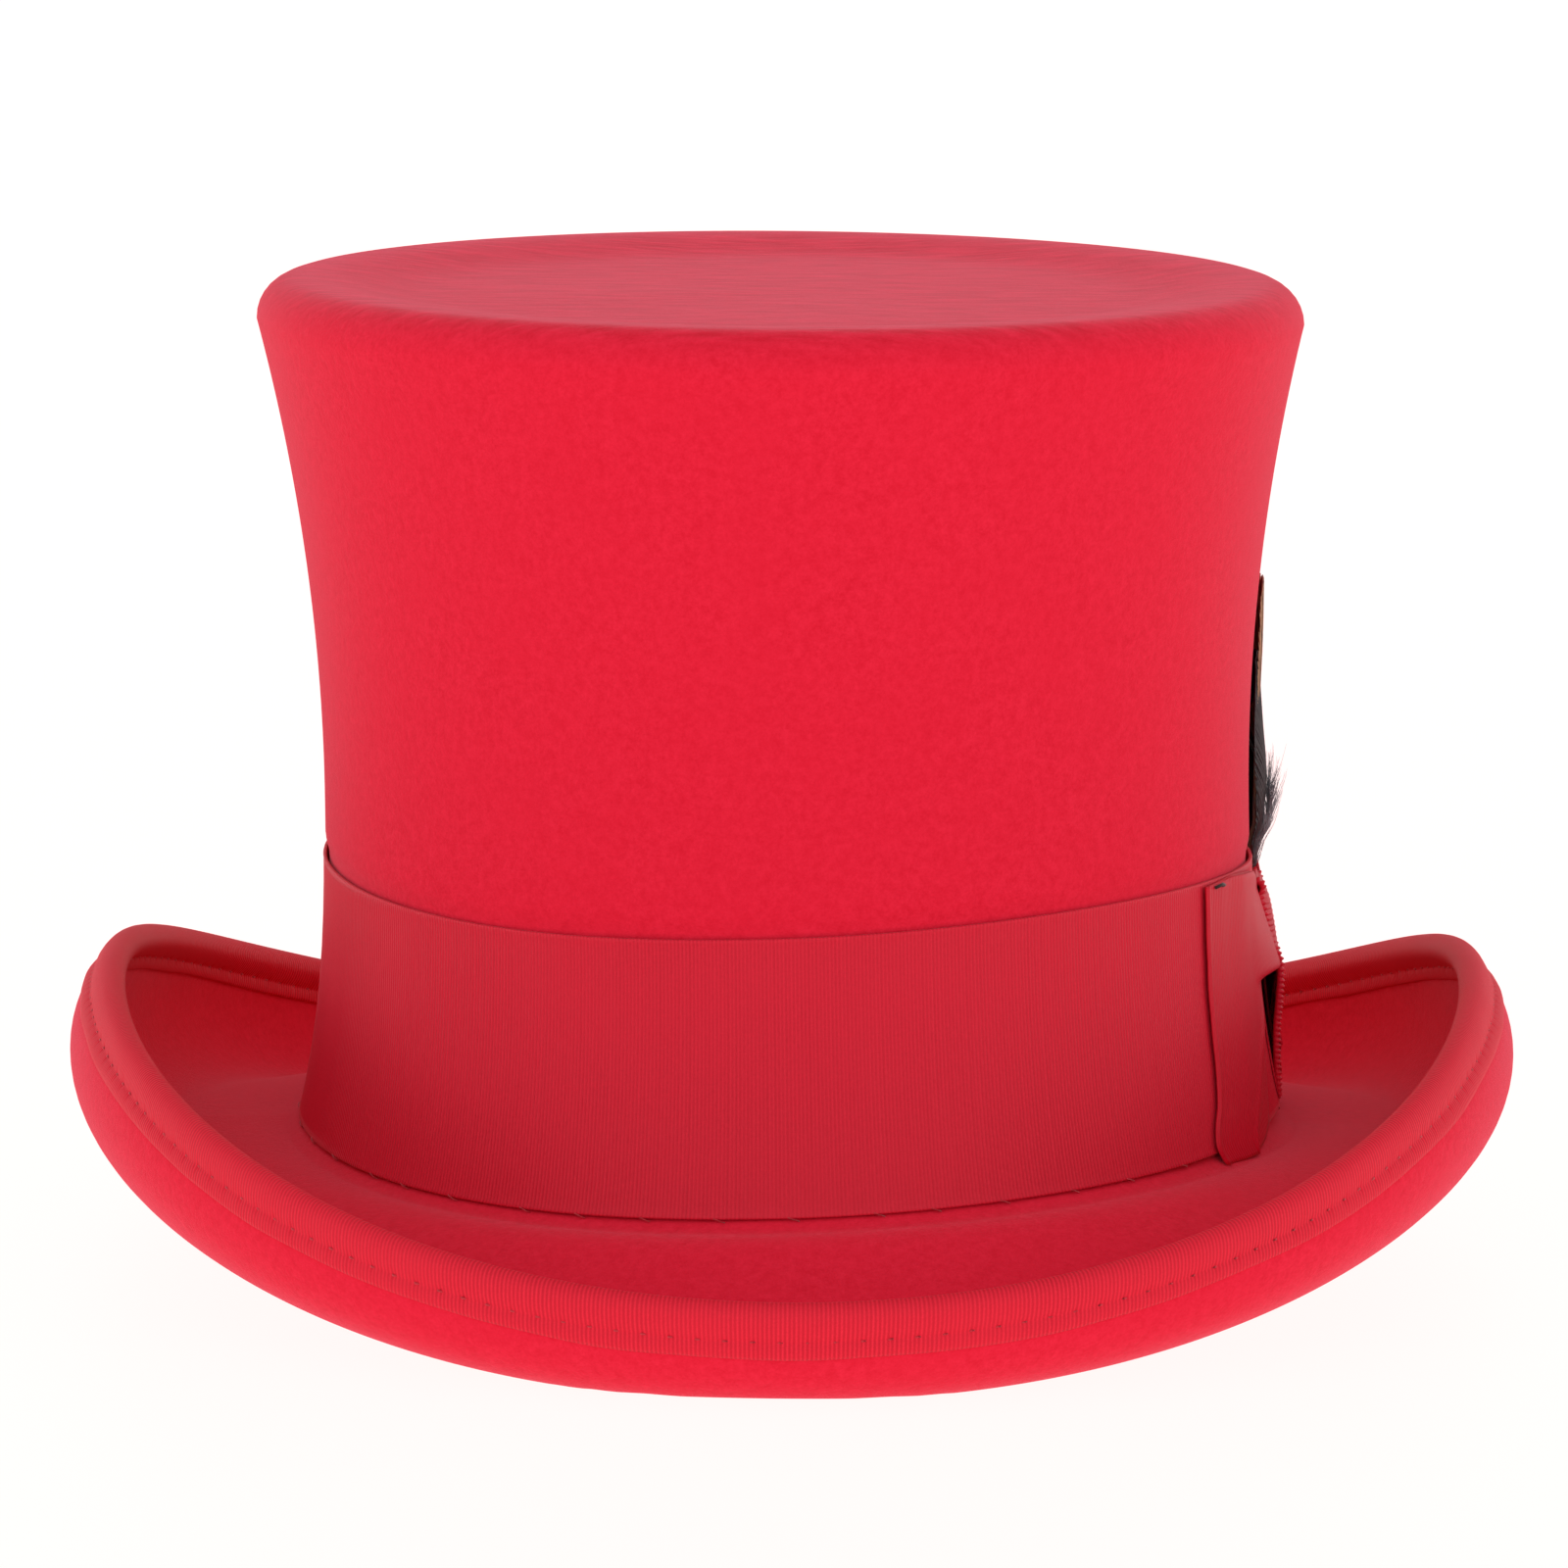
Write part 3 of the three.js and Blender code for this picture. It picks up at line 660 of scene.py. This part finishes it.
def brim_binding(ribbon, thread):
    """Ribbon folded over the brim's edge, bulging over the cord and drawn in along its stitches."""
    count = BINDING_STITCHES * 9
    angle = around(count)
    turned = np.arange(count)[:, None] / count
    stitch = np.cos((turned * BINDING_STITCHES - 0.25) * TURN)
    reach = 9.0
    stitch_back = 6.2
    bulge = 2.6
    face = np.array([reach, 8.95, 8.4, 7.7, 7.0, 6.5, stitch_back, 5.9, 5.4, 4.7, 3.8, 3.1])
    lift = np.array([1.65, 1.95, 2.1, 2.1, 2.0, 1.85, 1.75, 1.85, 2.05, 2.3, 2.5, 2.58])
    turn = np.radians(np.linspace(90, -90, 15))
    back = np.concatenate([face, bulge - bulge * np.cos(turn), face[::-1]])[None, :]
    off = np.concatenate([lift, bulge * np.sin(turn), -lift[::-1]])[None, :]
    near = np.exp(-((back - stitch_back) / 0.8) ** 2) * np.sign(off)
    hole = np.maximum(stitch, 0) ** 3 * near * 0.22
    pull = -ring_wave(11, angle, 60, 0.1) * np.sign(off) * smoothstep(back, 2.0, 5.0)
    edge_wave = ring_wave(12, angle, 40, 0.22) * smoothstep(back, 5.0, reach)
    outer = edge_point(angle, back + edge_wave, off - hole + pull)
    inner_off = np.sign(off) * np.maximum(np.abs(off) - 0.45, 0)
    inner_back = np.where(np.abs(off) < bulge, back + 0.4 * (back < bulge), back)
    inner = edge_point(angle, inner_back + edge_wave, inner_off)
    points = np.concatenate([outer, inner[:, ::-1]], 1)
    obj = ring_object("binding_ribbon", points, {"rib": turned * BINDING_RIBS})
    place_piece(obj, ribbon, "hat", "binding_ribbon", "brim_binding")
    paths = []
    for side in (1, -1):
        for k in range(BINDING_STITCHES):
            spot = np.linspace(k + 0.12, k + 0.38, 5) / BINDING_STITCHES * TURN + BACK
            sink = np.array([1.3, 1.62, 1.68, 1.62, 1.3]) * side
            paths.append(edge_point(spot, stitch_back, sink))
    stitches = strands("binding_stitches", paths, [0.19] * len(paths), 5)
    place_piece(stitches, thread, "hat", "binding_ribbon")


def band_rise(angle, across):
    """The band's lower edge climbs a little where the brim turns up under the bow."""
    return 2.6 * np.maximum(np.cos(angle), 0) ** 8 * (1 - across / (BAND_TOP - BAND_BOTTOM))


def hat_band(ribbon, thread):
    """Wide ribbed ribbon round the crown, its edges finished with a fine corded selvedge."""
    per_rib = 4
    angle = around(BAND_RIBS * per_rib)
    phase = (np.arange(BAND_RIBS * per_rib) / per_rib)[:, None]
    width = BAND_TOP - BAND_BOTTOM
    across = np.array([[0.0, 0.3, 0.8, 1.2, 2.2, 6, 12, 18, 24, 30, 36, 42, 45.2, 46.2, 46.6, 47.1, width]])
    height = BAND_BOTTOM + across
    edge = np.minimum(across, width - across)
    selvedge = 0.12 * np.exp(-((edge - 0.4) / 0.35) ** 2)
    ribbing = 0.055 * np.cos(phase * TURN) * smoothstep(edge, 0.7, 1.4)
    sway = ring_wave(21, angle, 9, 0.12) + band_rise(angle, across)
    lift = ring_wave(22, angle, 14, 0.16) * (1 - smoothstep(edge, 0, 5))
    front = crown_point(angle, height + sway, BAND_FRONT + selvedge + ribbing + np.abs(lift))
    back = crown_point(angle, height + sway, BAND_FRONT - 0.5 + np.abs(lift))
    obj = thick_sheet("band_ribbon", front, back, True, {"rib": phase})
    place_piece(obj, ribbon, "hat", "band_ribbon", "hat_band")
    paths = []
    rng = random.Random(31)
    stitch_count = 44
    for k in range(stitch_count):
        start = k / stitch_count * TURN + BACK + rng.uniform(-0.02, 0.02)
        spot = np.linspace(start, start + 0.026, 5)
        rise = np.array([0.35, 0.2, 0.0, -0.25, -0.5])
        level = BAND_BOTTOM + rise + band_rise(spot, 0.0)
        paths.append(crown_point(spot, level, np.array([0.9, 1.25, 1.3, 1.2, 0.75])))
    stitches = strands("band_stitches", paths, [0.1] * len(paths), 5)
    place_piece(stitches, thread, "hat", "band_ribbon")


def path_reach(points):
    """Distance along a path at each of its points."""
    steps = np.linalg.norm(np.diff(points, axis=0), axis=1)
    return np.concatenate([[0], np.cumsum(steps)])


def spline(points, count, closed=False):
    """Points evenly spaced along a smooth curve through a few corners."""
    corners = np.asarray(points, float)
    if closed:
        corners = np.concatenate([corners[-1:], corners, corners[:2]])
    else:
        before = 2 * corners[:1] - corners[1:2]
        after = 2 * corners[-1:] - corners[-2:-1]
        corners = np.concatenate([before, corners, after])
    dense = []
    for k in range(1, len(corners) - 2):
        a, b, c, d = corners[k - 1 : k + 3]
        t = np.linspace(0, 1, 24, endpoint=False)[:, None]
        square = (2 * a - 5 * b + 4 * c - d) * t**2
        cube = (3 * b - a - 3 * c + d) * t**3
        dense.append(0.5 * (2 * b + (c - a) * t + square + cube))
    dense = np.concatenate(dense + [corners[-2:-1]])
    reach = path_reach(dense)
    wanted = np.linspace(0, reach[-1], count, endpoint=not closed)
    return np.stack([np.interp(wanted, reach, dense[:, i]) for i in range(dense.shape[1])], -1)


def through(points, x):
    """Smooth values along a curve given by a few (x, value) corners."""
    line = spline(points, 200)
    return np.interp(x, line[:, 0], line[:, 1])


def ribbon_loop(name, ribbon, node_name, direction, shape):
    """One loop of the bow: a ribbon creased at its far end, folded back and gathered at the knot."""
    path = spline(shape["outline"], 420)
    tangent = np.gradient(path, axis=0)
    tangent /= np.linalg.norm(tangent, axis=1)[:, None]
    normal = np.stack([-tangent[:, 1], tangent[:, 0]], -1)
    reach = path_reach(path)
    v = np.linspace(0, 1, 61)[None, :]
    away = path[:, :1]
    off = path[:, 1:]
    low = through(shape["low"], away)
    high = through(shape["high"], away)
    height = low + (high - low) * v
    in_front = np.arange(len(path))[:, None] < np.argmax(path[:, 0])
    push = (shape["face"](away, height) - BOW_BACK - off) * in_front * (1 - smoothstep(away, 40, 48))
    arm = through(shape["arm"], height) - BOW_ARM + wave(shape["seed"], height, 30.0, 0.35)
    stretch = arm * smoothstep(away, 26, 52)
    edge = np.minimum(v, 1 - v) * (high - low)
    selvedge = 0.1 * np.exp(-(((edge - 0.45) / 0.4) ** 2))
    ribs = np.round(reach[-1] / RIB_PITCH)
    phase = (reach / reach[-1] * ribs)[:, None]
    ribbing = 0.012 * np.cos(phase * TURN) * smoothstep(edge, 0.7, 1.4)
    thickness = 0.42
    sheets = []
    for depth in (selvedge + ribbing, -thickness):
        across = away + normal[:, :1] * depth + stretch
        least = BAND_FRONT + 0.12 + (depth + thickness) * 0.3
        out = np.maximum(BOW_BACK + off + normal[:, 1:] * depth + push, least)
        sheets.append(side_point(direction * across, height, out))
    obj = thick_sheet(name, sheets[0], sheets[1], False, {"rib": phase})
    place_piece(obj, ribbon, "hat", "bow_ribbon", node_name)


FRONT_LOW_EDGE = [
    (4, 30.6), (8, 30.6), (13, 30), (17, 24), (20, 19), (22, 16), (25, 12), (29, 7), (33, 4.2), (38, 2.6),
    (46, 2), (60, 2.2),
]


def front_face(away, height):
    """Distance of the front loop's outer layer off the crown: puffed above the pinch, tucked in below."""
    plain = through([(0, 2.4), (8, 2.4), (20, 3.0), (31, 3.1), (40, 2.6), (50, 2.2), (60, 2.2)], away)
    wedge = 1.7 + 3.6 * np.clip((46 - height) / 14.0, 0, 1)
    wedge = lerp(1.3, wedge, smoothstep(height, 29.4, 31.4))
    main = lerp(wedge, plain, smoothstep(away, 10, 30))
    crease = through([(0, 30), (10, 30.2), (16, 28.5), (22, 25), (31, 18), (38, 9), (44, 0), (60, -6)], away)
    low = through(FRONT_LOW_EDGE, away)
    tuck = smoothstep(height, low - 1.0, np.maximum(crease, low + 0.5))
    ridge = 0.35 * np.exp(-(((height - crease) / 1.6) ** 2)) * smoothstep(away, 12, 18)
    flap = np.where(crease > low, tuck, 1.0)
    soft = 0.22 * np.sin(away * 0.33 + height * 0.05) * smoothstep(away, 24, 32)
    return lerp(1.55, main, flap) + ridge * (crease > low) + soft


def rear_face(away, height):
    """The same for the rear loop: full over the quills, with soft folds running out from the knot."""
    plain = through(
        [(0, 3.4), (8, 3.7), (12, 4.2), (17, 4.4), (25, 4.0), (31, 3.6), (44, 3.0), (50, 2.3), (60, 2.2)],
        away,
    )
    middle = smoothstep(height, 17, 23) * (1 - smoothstep(height, 32, 37))
    plain = plain + 1.5 * middle * (1 - smoothstep(away, 14, 30))
    near = 1 - smoothstep(away, 8, 34)
    folds = near * (0.45 * np.sin(height * 0.42 + 0.4) + 0.2 * np.sin(height * 0.9 + away * 0.1))
    return plain + folds + 0.2 * np.sin(away * 0.3 + height * 0.06 + 2.0) * smoothstep(away, 24, 32)


# Each loop: its outline in plan, from the knot out and back, as distance from the knot's middle and
# distance off the band; its lower edge, upper edge and far fold; its outer face; its flat area.
FRONT_LOOP = {
    "outline": [
        (5, 1.0), (8, 1.3), (13, 1.8), (20, 2.0), (31, 1.9), (43, 1.2), (50, 0.75), (52.2, 0.7),
        (53.2, 1.1), (54.1, 0.8), (54.0, 0.4), (52.6, 0.2), (46, 0.12), (36, 0.12), (20, 0.15), (8, 0.2),
        (5, 0.25),
    ],
    "low": FRONT_LOW_EDGE,
    "high": [(4, 46), (8, 46.3), (12, 48), (22, 49.7), (38, 50.7), (46, 50.4), (60, 50.0)],
    "arm": [(0, 55), (3, 57.5), (5.5, 58.6), (9, 57.5), (13, 55), (20, 53.6), (28, 52.8), (40, 52.4),
            (52, 52.0)],
    "face": front_face, "seed": 2, "area": 0.0036,
}
REAR_LOOP = {
    "outline": [
        (5, 1.9), (8, 2.6), (12, 3.3), (17, 3.4), (25, 2.7), (31, 2.5), (44, 1.8), (50.4, 1.1), (52.2, 1.0),
        (53.2, 1.4), (54.1, 1.05), (54.0, 0.5), (52.6, 0.25), (46, 0.15), (36, 0.3), (27, 0.9), (20, 1.7),
        (13, 1.8), (8, 1.1), (5, 0.9),
    ],
    "low": [(4, 15), (8, 14), (14, 10), (24, 5.4), (32, 4.4), (46, 3.8), (60, 3.4)],
    "high": [(4, 40), (8, 40.5), (14, 43.5), (22, 48), (30, 50.6), (46, 51), (60, 51)],
    "arm": [(0, 55), (12, 54.2), (30, 53.6), (52, 54.4)],
    "face": rear_face, "seed": 4, "area": 0.0044,
}


# The knot seen along the band, from its top down its face and up its back: height, distance off the crown.
KNOT_PROFILE = [
    (45.2, 1.25), (46.6, 1.7), (45.6, 3.1), (43.3, 4.2), (40, 4.8), (35, 5.25), (29.5, 5.3),
    (24, 4.4), (20, 3.5), (14, 2.5), (10.5, 2.0), (8, 1.75), (6.9, 1.45), (7.8, 1.2), (14, 1.15),
    (26, 1.15), (38, 1.15),
]


def bow_knot(ribbon):
    """The ribbon wrapped over the middle of the bow, ribs across it and a thick corded edge."""
    section = spline(KNOT_PROFILE, 720, closed=True)
    reach = path_reach(section)
    tangent = np.roll(section, -1, 0) - np.roll(section, 1, 0)
    tangent /= np.linalg.norm(tangent, axis=1)[:, None]
    outward = np.stack([-tangent[:, 1], tangent[:, 0]], -1)
    level, out = section[:, :1], section[:, 1:]
    if np.mean((outward * (section - section.mean(0))).sum(1)) < 0:
        outward = -outward
    half = KNOT_HALF_WIDTH - np.array([0, 0.1, 0.4, 0.8, 1.2, 1.6, 2.9, 4.9])
    across = np.concatenate([-half, [0], half[::-1]])[None, :]
    ribs = round(float(reach[-1]) / KNOT_RIB_PITCH)
    phase = (reach / reach[-1] * ribs)[:, None]
    edge = KNOT_HALF_WIDTH - np.abs(across)
    corded = np.exp(-(((edge - 0.6) / 0.5) ** 2))
    rib = np.cos(phase * TURN)
    in_front = smoothstep(out, 1.3, 2.2)
    upper = smoothstep(level, 32, 37) * (1 - smoothstep(level, 43, 46))
    droop = 2.0 * upper * (across / KNOT_HALF_WIDTH) ** 2 * in_front
    raised = (0.12 + 0.4 * corded + (0.05 + 0.2 * corded) * rib) * in_front
    hollow = -0.3 * (1 - smoothstep(np.abs(across), 1.0, 6.0)) * in_front
    pinch = 1 - 0.05 * np.cos((level - KNOT_MIDDLE) / KNOT_HALF_HEIGHT * math.pi / 2)
    sheets = []
    for depth in (raised + hollow, hollow - 0.35 - (0.5 * corded - 0.05 * corded * rib) * in_front):
        height = level + outward[:, :1] * depth
        stands = np.maximum(out + outward[:, 1:] * depth - droop, BAND_FRONT + 0.1)
        sheets.append(side_point(across * pinch, height, stands))
    obj = thick_sheet("knot_ribbon", sheets[0], sheets[1], True, {"rib": phase})
    place_piece(obj, ribbon, "hat", "bow_ribbon", "bow_knot")


def tack_stitch(thread):
    """The small dark stitch that holds the front loop's corner down."""
    rearward = -np.array([44.6, 45.2, 46.4, 47.6, 48.4])
    height = np.array([49.6, 49.9, 50.2, 50.1, 49.7])
    path = side_point(rearward, height, BOW_BACK + np.array([0.8, 1.5, 1.6, 1.6, 0.9]))
    place_piece(strands("bow_tack_stitch", [path], [0.3], 6), thread, "hat", "bow_ribbon")


def feather(name, seed, barb_material, quill, node_name, slot):
    """A feather: a tapering shaft and close barbs, each its own strand, cupped towards the crown."""
    shape = FEATHERS[name]
    rng = random.Random(seed)
    height, rearward, out = spline(shape["shaft"], 80).T
    radius = np.maximum(0.45 * (1 - np.linspace(0, 1, len(height))) ** 0.7, 0.06)
    shaft = strands(name + "_shaft", [side_point(rearward, height, out)], [radius], 8)
    place_piece(shaft, quill, "feather_spray", slot)
    paths, radii, along, across = [], [], [], []
    start, end = shape["barbs_from"], height[-1]
    for k in range(shape["barbs"]):
        share = k / (shape["barbs"] - 1)
        level = lerp(start, end - 1.0, share)
        fullness = math.sin(math.pi * (0.12 + 0.84 * share**0.9)) ** 0.5
        for side in (-1, 1):
            reach = shape["half_width"] * fullness * rng.uniform(0.93, 1.03)
            rise = reach * lerp(0.8, 1.5, share) * rng.uniform(0.95, 1.05)
            t = np.linspace(0, 1, 8)
            up = level + rise * t**1.3
            top = end + shape["half_width"] * 0.05 - (reach * t) ** 2 * 0.05
            up = np.minimum(up, np.maximum(top, level))
            seat = np.interp(np.minimum(up, end), height, rearward)
            lift = np.interp(np.minimum(up, end), height, out)
            place = seat + side * reach * t**0.9
            cup = shape["cup"] * (reach * t / shape["half_width"]) ** 2
            stray = shape["stray"] * rng.uniform(-1, 1) * t**2
            off = np.maximum(lift - cup + stray, 1.25)
            paths.append(side_point(place, up, off))
            radii.append(shape["barb_radius"] * np.array([0.9, 1, 1, 1, 0.95, 0.85, 0.65, 0.25]))
            along.append(np.full(8, share))
            across.append(t)
    barbs = strands(name + "_barbs", paths, radii, 3, {"along": along, "across": across})
    place_piece(barbs, barb_material, "feather_spray", slot, node_name)


def down_tuft(name, material, quill, seed):
    """The soft grey down at the spray's foot: fine barbs that spread up and outward."""
    rng = random.Random(seed)
    stem = spline([(QUILL_FOOT, 12.5, QUILL_OFF), (46, 12.6, 2.4), (54, 12.0, 4.2), (66, 11.5, 5.0)], 60)
    height, rearward, out = stem.T
    radius = 0.4 * (1 - np.linspace(0, 0.9, len(height)))
    shaft = strands(name + "_shaft", [side_point(rearward, height, out)], [radius], 8)
    place_piece(shaft, quill, "feather_spray", "grey_down")
    paths, radii, along, across = [], [], [], []
    lowest = 45.5
    for _ in range(300):
        level = rng.uniform(lowest, 61)
        seat = np.interp(level, height, rearward)
        lift = np.interp(level, height, out)
        share = (level - lowest) / 20
        length = rng.uniform(7, 14) * lerp(1.0, 0.6, share)
        spread = rng.uniform(-1, 1)
        t = np.linspace(0, 1, 9)
        side = spread * length * (0.75 * t + 0.1 * np.sin(t * 4 + rng.uniform(0, 6)))
        rise = length * (0.35 * t + 0.5 * t**2) * (1.15 - 0.4 * abs(spread))
        outward = rng.uniform(-0.12, 0.42) * length * t**1.3 * (1 - 0.6 * abs(spread))
        curl = 0.25 * np.sin(t * rng.uniform(4, 8) + rng.uniform(0, 6)) * t
        off = np.maximum(lift + outward + curl, 1.25)
        paths.append(side_point(seat + side, level + rise, off))
        radii.append(0.08 * np.linspace(1, 0.2, 9))
        along.append(np.full(9, share))
        across.append(t)
    barbs = strands(name + "_barbs", paths, radii, 3, {"along": along, "across": across})
    place_piece(barbs, material, "feather_spray", "grey_down", "feather_down")


# Feather shafts, from the foot behind the bow to the tip: height, distance rearward, distance off the crown.
FEATHERS = {
    "brown_feather": {
        "shaft": [(QUILL_FOOT, 13.85, QUILL_OFF), (47, 13.4, 2.0), (60, 13, 2.4), (75, 13, 2.6),
                  (88, 14, 2.7), (99.5, 16.5, 2.4)],
        "half_width": 8.6, "barbs_from": 69, "barbs": 110, "barb_radius": 0.2, "cup": 1.2, "stray": 0.1,
    },
    "black_feather": {
        "shaft": [(QUILL_FOOT, 15.15, QUILL_OFF), (46, 14.4, 2.2), (55, 13, 3.4), (64, 12, 4.1),
                  (74, 12, 3.3), (86, 12.5, 2.1)],
        "half_width": 9, "barbs_from": 47, "barbs": 170, "barb_radius": 0.2, "cup": 3.0, "stray": 0.1,
    },
    "rear_feather": {
        "shaft": [(QUILL_FOOT, 16.45, QUILL_OFF), (46, 17.6, 2.6), (56, 21, 3.6), (70, 26, 4.2),
                  (90, 34, 3.6)],
        "half_width": 8.5, "barbs_from": 50, "barbs": 150, "barb_radius": 0.2, "cup": 1.2, "stray": 0.12,
    },
}


def sweatband(leather, thread, piping):
    """Leather band inside the crown's foot, stitched along the reed."""
    angle = around(480)
    width = SWEATBAND_TOP - SWEATBAND_FOOT
    across = np.array([[0.0, 0.3, 1, 2, 4, 8, 14, 20, 26, 30, 32.5, 33.4, 33.9, 34.2, width]])
    height = SWEATBAND_FOOT + across
    edge = np.minimum(across, width - across)
    rounding = 0.35 * (1 - smoothstep(edge, 0, 0.9))
    sag = ring_wave(41, angle, 16, 0.3) * smoothstep(across, 4, 20)
    swell = 0.25 * np.sin(across / width * math.pi)
    inner = crown_point(angle, height, SWEATBAND_OUT - swell + rounding - np.abs(sag))
    outer = crown_point(angle, height, SWEATBAND_OUT + 0.95 - rounding * 0.3)
    obj = thick_sheet("sweatband_leather", inner, outer, True)
    place_piece(obj, leather, "hat", "sweatband_leather", "sweatband")
    paths = []
    sink = SWEATBAND_OUT + np.array([0.1, -0.28, -0.28, 0.1])
    for k in range(SWEATBAND_STITCHES):
        spot = np.linspace(k + 0.12, k + 0.82, 4) / SWEATBAND_STITCHES * TURN + BACK
        paths.append(crown_point(spot, SWEATBAND_FOOT + 2.4, sink))
    stitches = strands("sweatband_stitches", paths, [0.2] * len(paths), 5)
    place_piece(stitches, thread, "hat", "sweatband_leather")
    for name, material in (("sweatband_reed", piping), ("brim_wire", metal_material())):
        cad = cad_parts[name]
        cad.data.materials.clear()
        cad.data.materials.append(material)


def lining(satin):
    """Satin gathered to the tip: soft pleats down the side, a smooth oval tip with a turned seam."""
    angle = around(720)
    rise = np.linspace(0, 1, 40)[None, :]
    height = LINING_FOOT + rise * (LINING_TOP - 0.5 - LINING_FOOT)
    pleat = np.abs(np.sin(angle * 30 + ring_wave(51, angle, 9, 0.8))) * 0.5 + ring_wave(52, angle, 30, 0.25)
    fullness = smoothstep(rise, 0.25, 0.95) + 0.15
    inward = np.clip(pleat * fullness, 0, None) * 1.5
    inner = crown_point(angle, height, LINING_OUT - inward)
    outer = crown_point(angle, height, LINING_OUT + 0.5 - inward * 0.9)
    side = thick_sheet("lining_side_satin", inner, outer, True)
    place_piece(side, satin, "hat", "lining_satin", "lining_side")
    scale = np.linspace(0, 1, 26)[None, :]
    out = float(wall_out(LINING_TOP)) + LINING_OUT - GAP
    sag = 1.6 * np.cos(scale * math.pi / 2) + 0.35 * np.sin(angle * 40) * smoothstep(scale, 0.75, 1.0)
    low = crown_ring(angle, LINING_TOP - 0.3, out, scale)
    low[..., 2] -= sag
    high = low + np.array([0.0, 0.0, 0.5])
    points = np.concatenate([low, high[:, ::-1]], 1)
    rows, columns = points.shape[:2]
    tip = build("lining_tip_satin", points, grid_faces(rows, columns, True, False))
    place_piece(tip, satin, "hat", "lining_satin", "lining_tip")


def seam_bow(satin):
    """The small ribbon bow on the sweatband's seam."""
    arm = 13.0
    knot_half = 1.7
    middle = 9.0

    def seam_point(across, rise, inward):
        return crown_point(BACK - across / HEAD_HALF_WIDTH, middle + rise, SWEATBAND_OUT - GAP - inward)

    across = np.concatenate([np.linspace(-arm, 0, 40), np.linspace(0, arm, 40)[1:]])[:, None]
    opened = np.clip((np.abs(across) - 1.5) / (arm - 1.5), 0, 1)
    half = 1.1 + 3.2 * np.sin(math.pi * 0.8 * opened)
    v = np.linspace(-1, 1, 13)[None, :]
    deep = 1.0 + 1.4 * np.sin(math.pi * opened) * (1 - v**2) ** 0.5
    folds = 0.25 * np.sin(v * 9) * (1 - opened)
    front = seam_point(across, v * half, deep + folds + 0.5)
    back = seam_point(across, v * half, 0.5)
    loops = thick_sheet("seam_bow_ribbon", front, back)
    place_piece(loops, satin, "hat", "lining_satin", "seam_bow_loops")
    turn = np.linspace(0, TURN, 28, endpoint=False)[:, None]
    width = np.linspace(-knot_half, knot_half, 7)[None, :]
    belly = 0.25 * (1 - (width / knot_half) ** 2)
    rings = []
    for depth in (0.0, -0.4):
        rise = (2.3 + depth + belly) * np.sin(turn)
        rings.append(seam_point(width, rise, 1.6 + (1.5 + depth + belly) * np.cos(turn)))
    knot = thick_sheet("seam_bow_centre", rings[0], rings[1], True)
    place_piece(knot, satin, "hat", "lining_satin", "seam_bow_knot")


# --------------------------------------------------------------------------------------------------
# Assembly
# --------------------------------------------------------------------------------------------------

def main():
    camera()
    studio()
    felt = felt_material()
    # The last number of each grosgrain is the painted shade in its grooves.
    band_ribbon = grosgrain_material("band_grosgrain", srgb(188, 14, 40), srgb(226, 34, 60), 0.55, 0.1, 0.12)
    bow_ribbon = grosgrain_material("bow_grosgrain", srgb(188, 12, 38), srgb(216, 26, 52), 0.5, 0.05, 0.08)
    binding_ribbon = grosgrain_material(
        "binding_grosgrain", srgb(192, 14, 38), srgb(232, 34, 58), 0.65, 0.04, 0.24,
    )
    red_thread = thread_material("red_thread", srgb(196, 34, 50))
    dark_thread = thread_material("dark_thread", srgb(40, 28, 22))
    satin = satin_material()
    felt_body(felt)
    brim_binding(binding_ribbon, red_thread)
    hat_band(band_ribbon, red_thread)
    ribbon_loop("front_loop_ribbon", bow_ribbon, "bow_front_loop", -1, FRONT_LOOP)
    ribbon_loop("rear_loop_ribbon", bow_ribbon, "bow_rear_loop", 1, REAR_LOOP)
    tack_stitch(dark_thread)
    bow_knot(bow_ribbon)
    sweatband(leather_material(), dark_thread, piping_material())
    lining(satin)
    seam_bow(satin)
    quill = quill_material()
    brown = feather_material("brown_barbs", srgb(132, 94, 66), srgb(168, 124, 88), True, 0.5, 0.0)
    black = feather_material("black_barbs", srgb(10, 10, 14), srgb(26, 27, 34), False, 0.3, 0.35)
    down = feather_material("down_barbs", srgb(62, 64, 72), srgb(168, 170, 176), False, 0.9, 0.0)
    feather("brown_feather", 61, brown, quill, "feather_brown", "brown_feather")
    feather("black_feather", 62, black, quill, "feather_black", "black_feather")
    feather("rear_feather", 63, brown, quill, "feather_brown_rear", "brown_feather")
    down_tuft("down_tuft", down, quill, 64)


main()
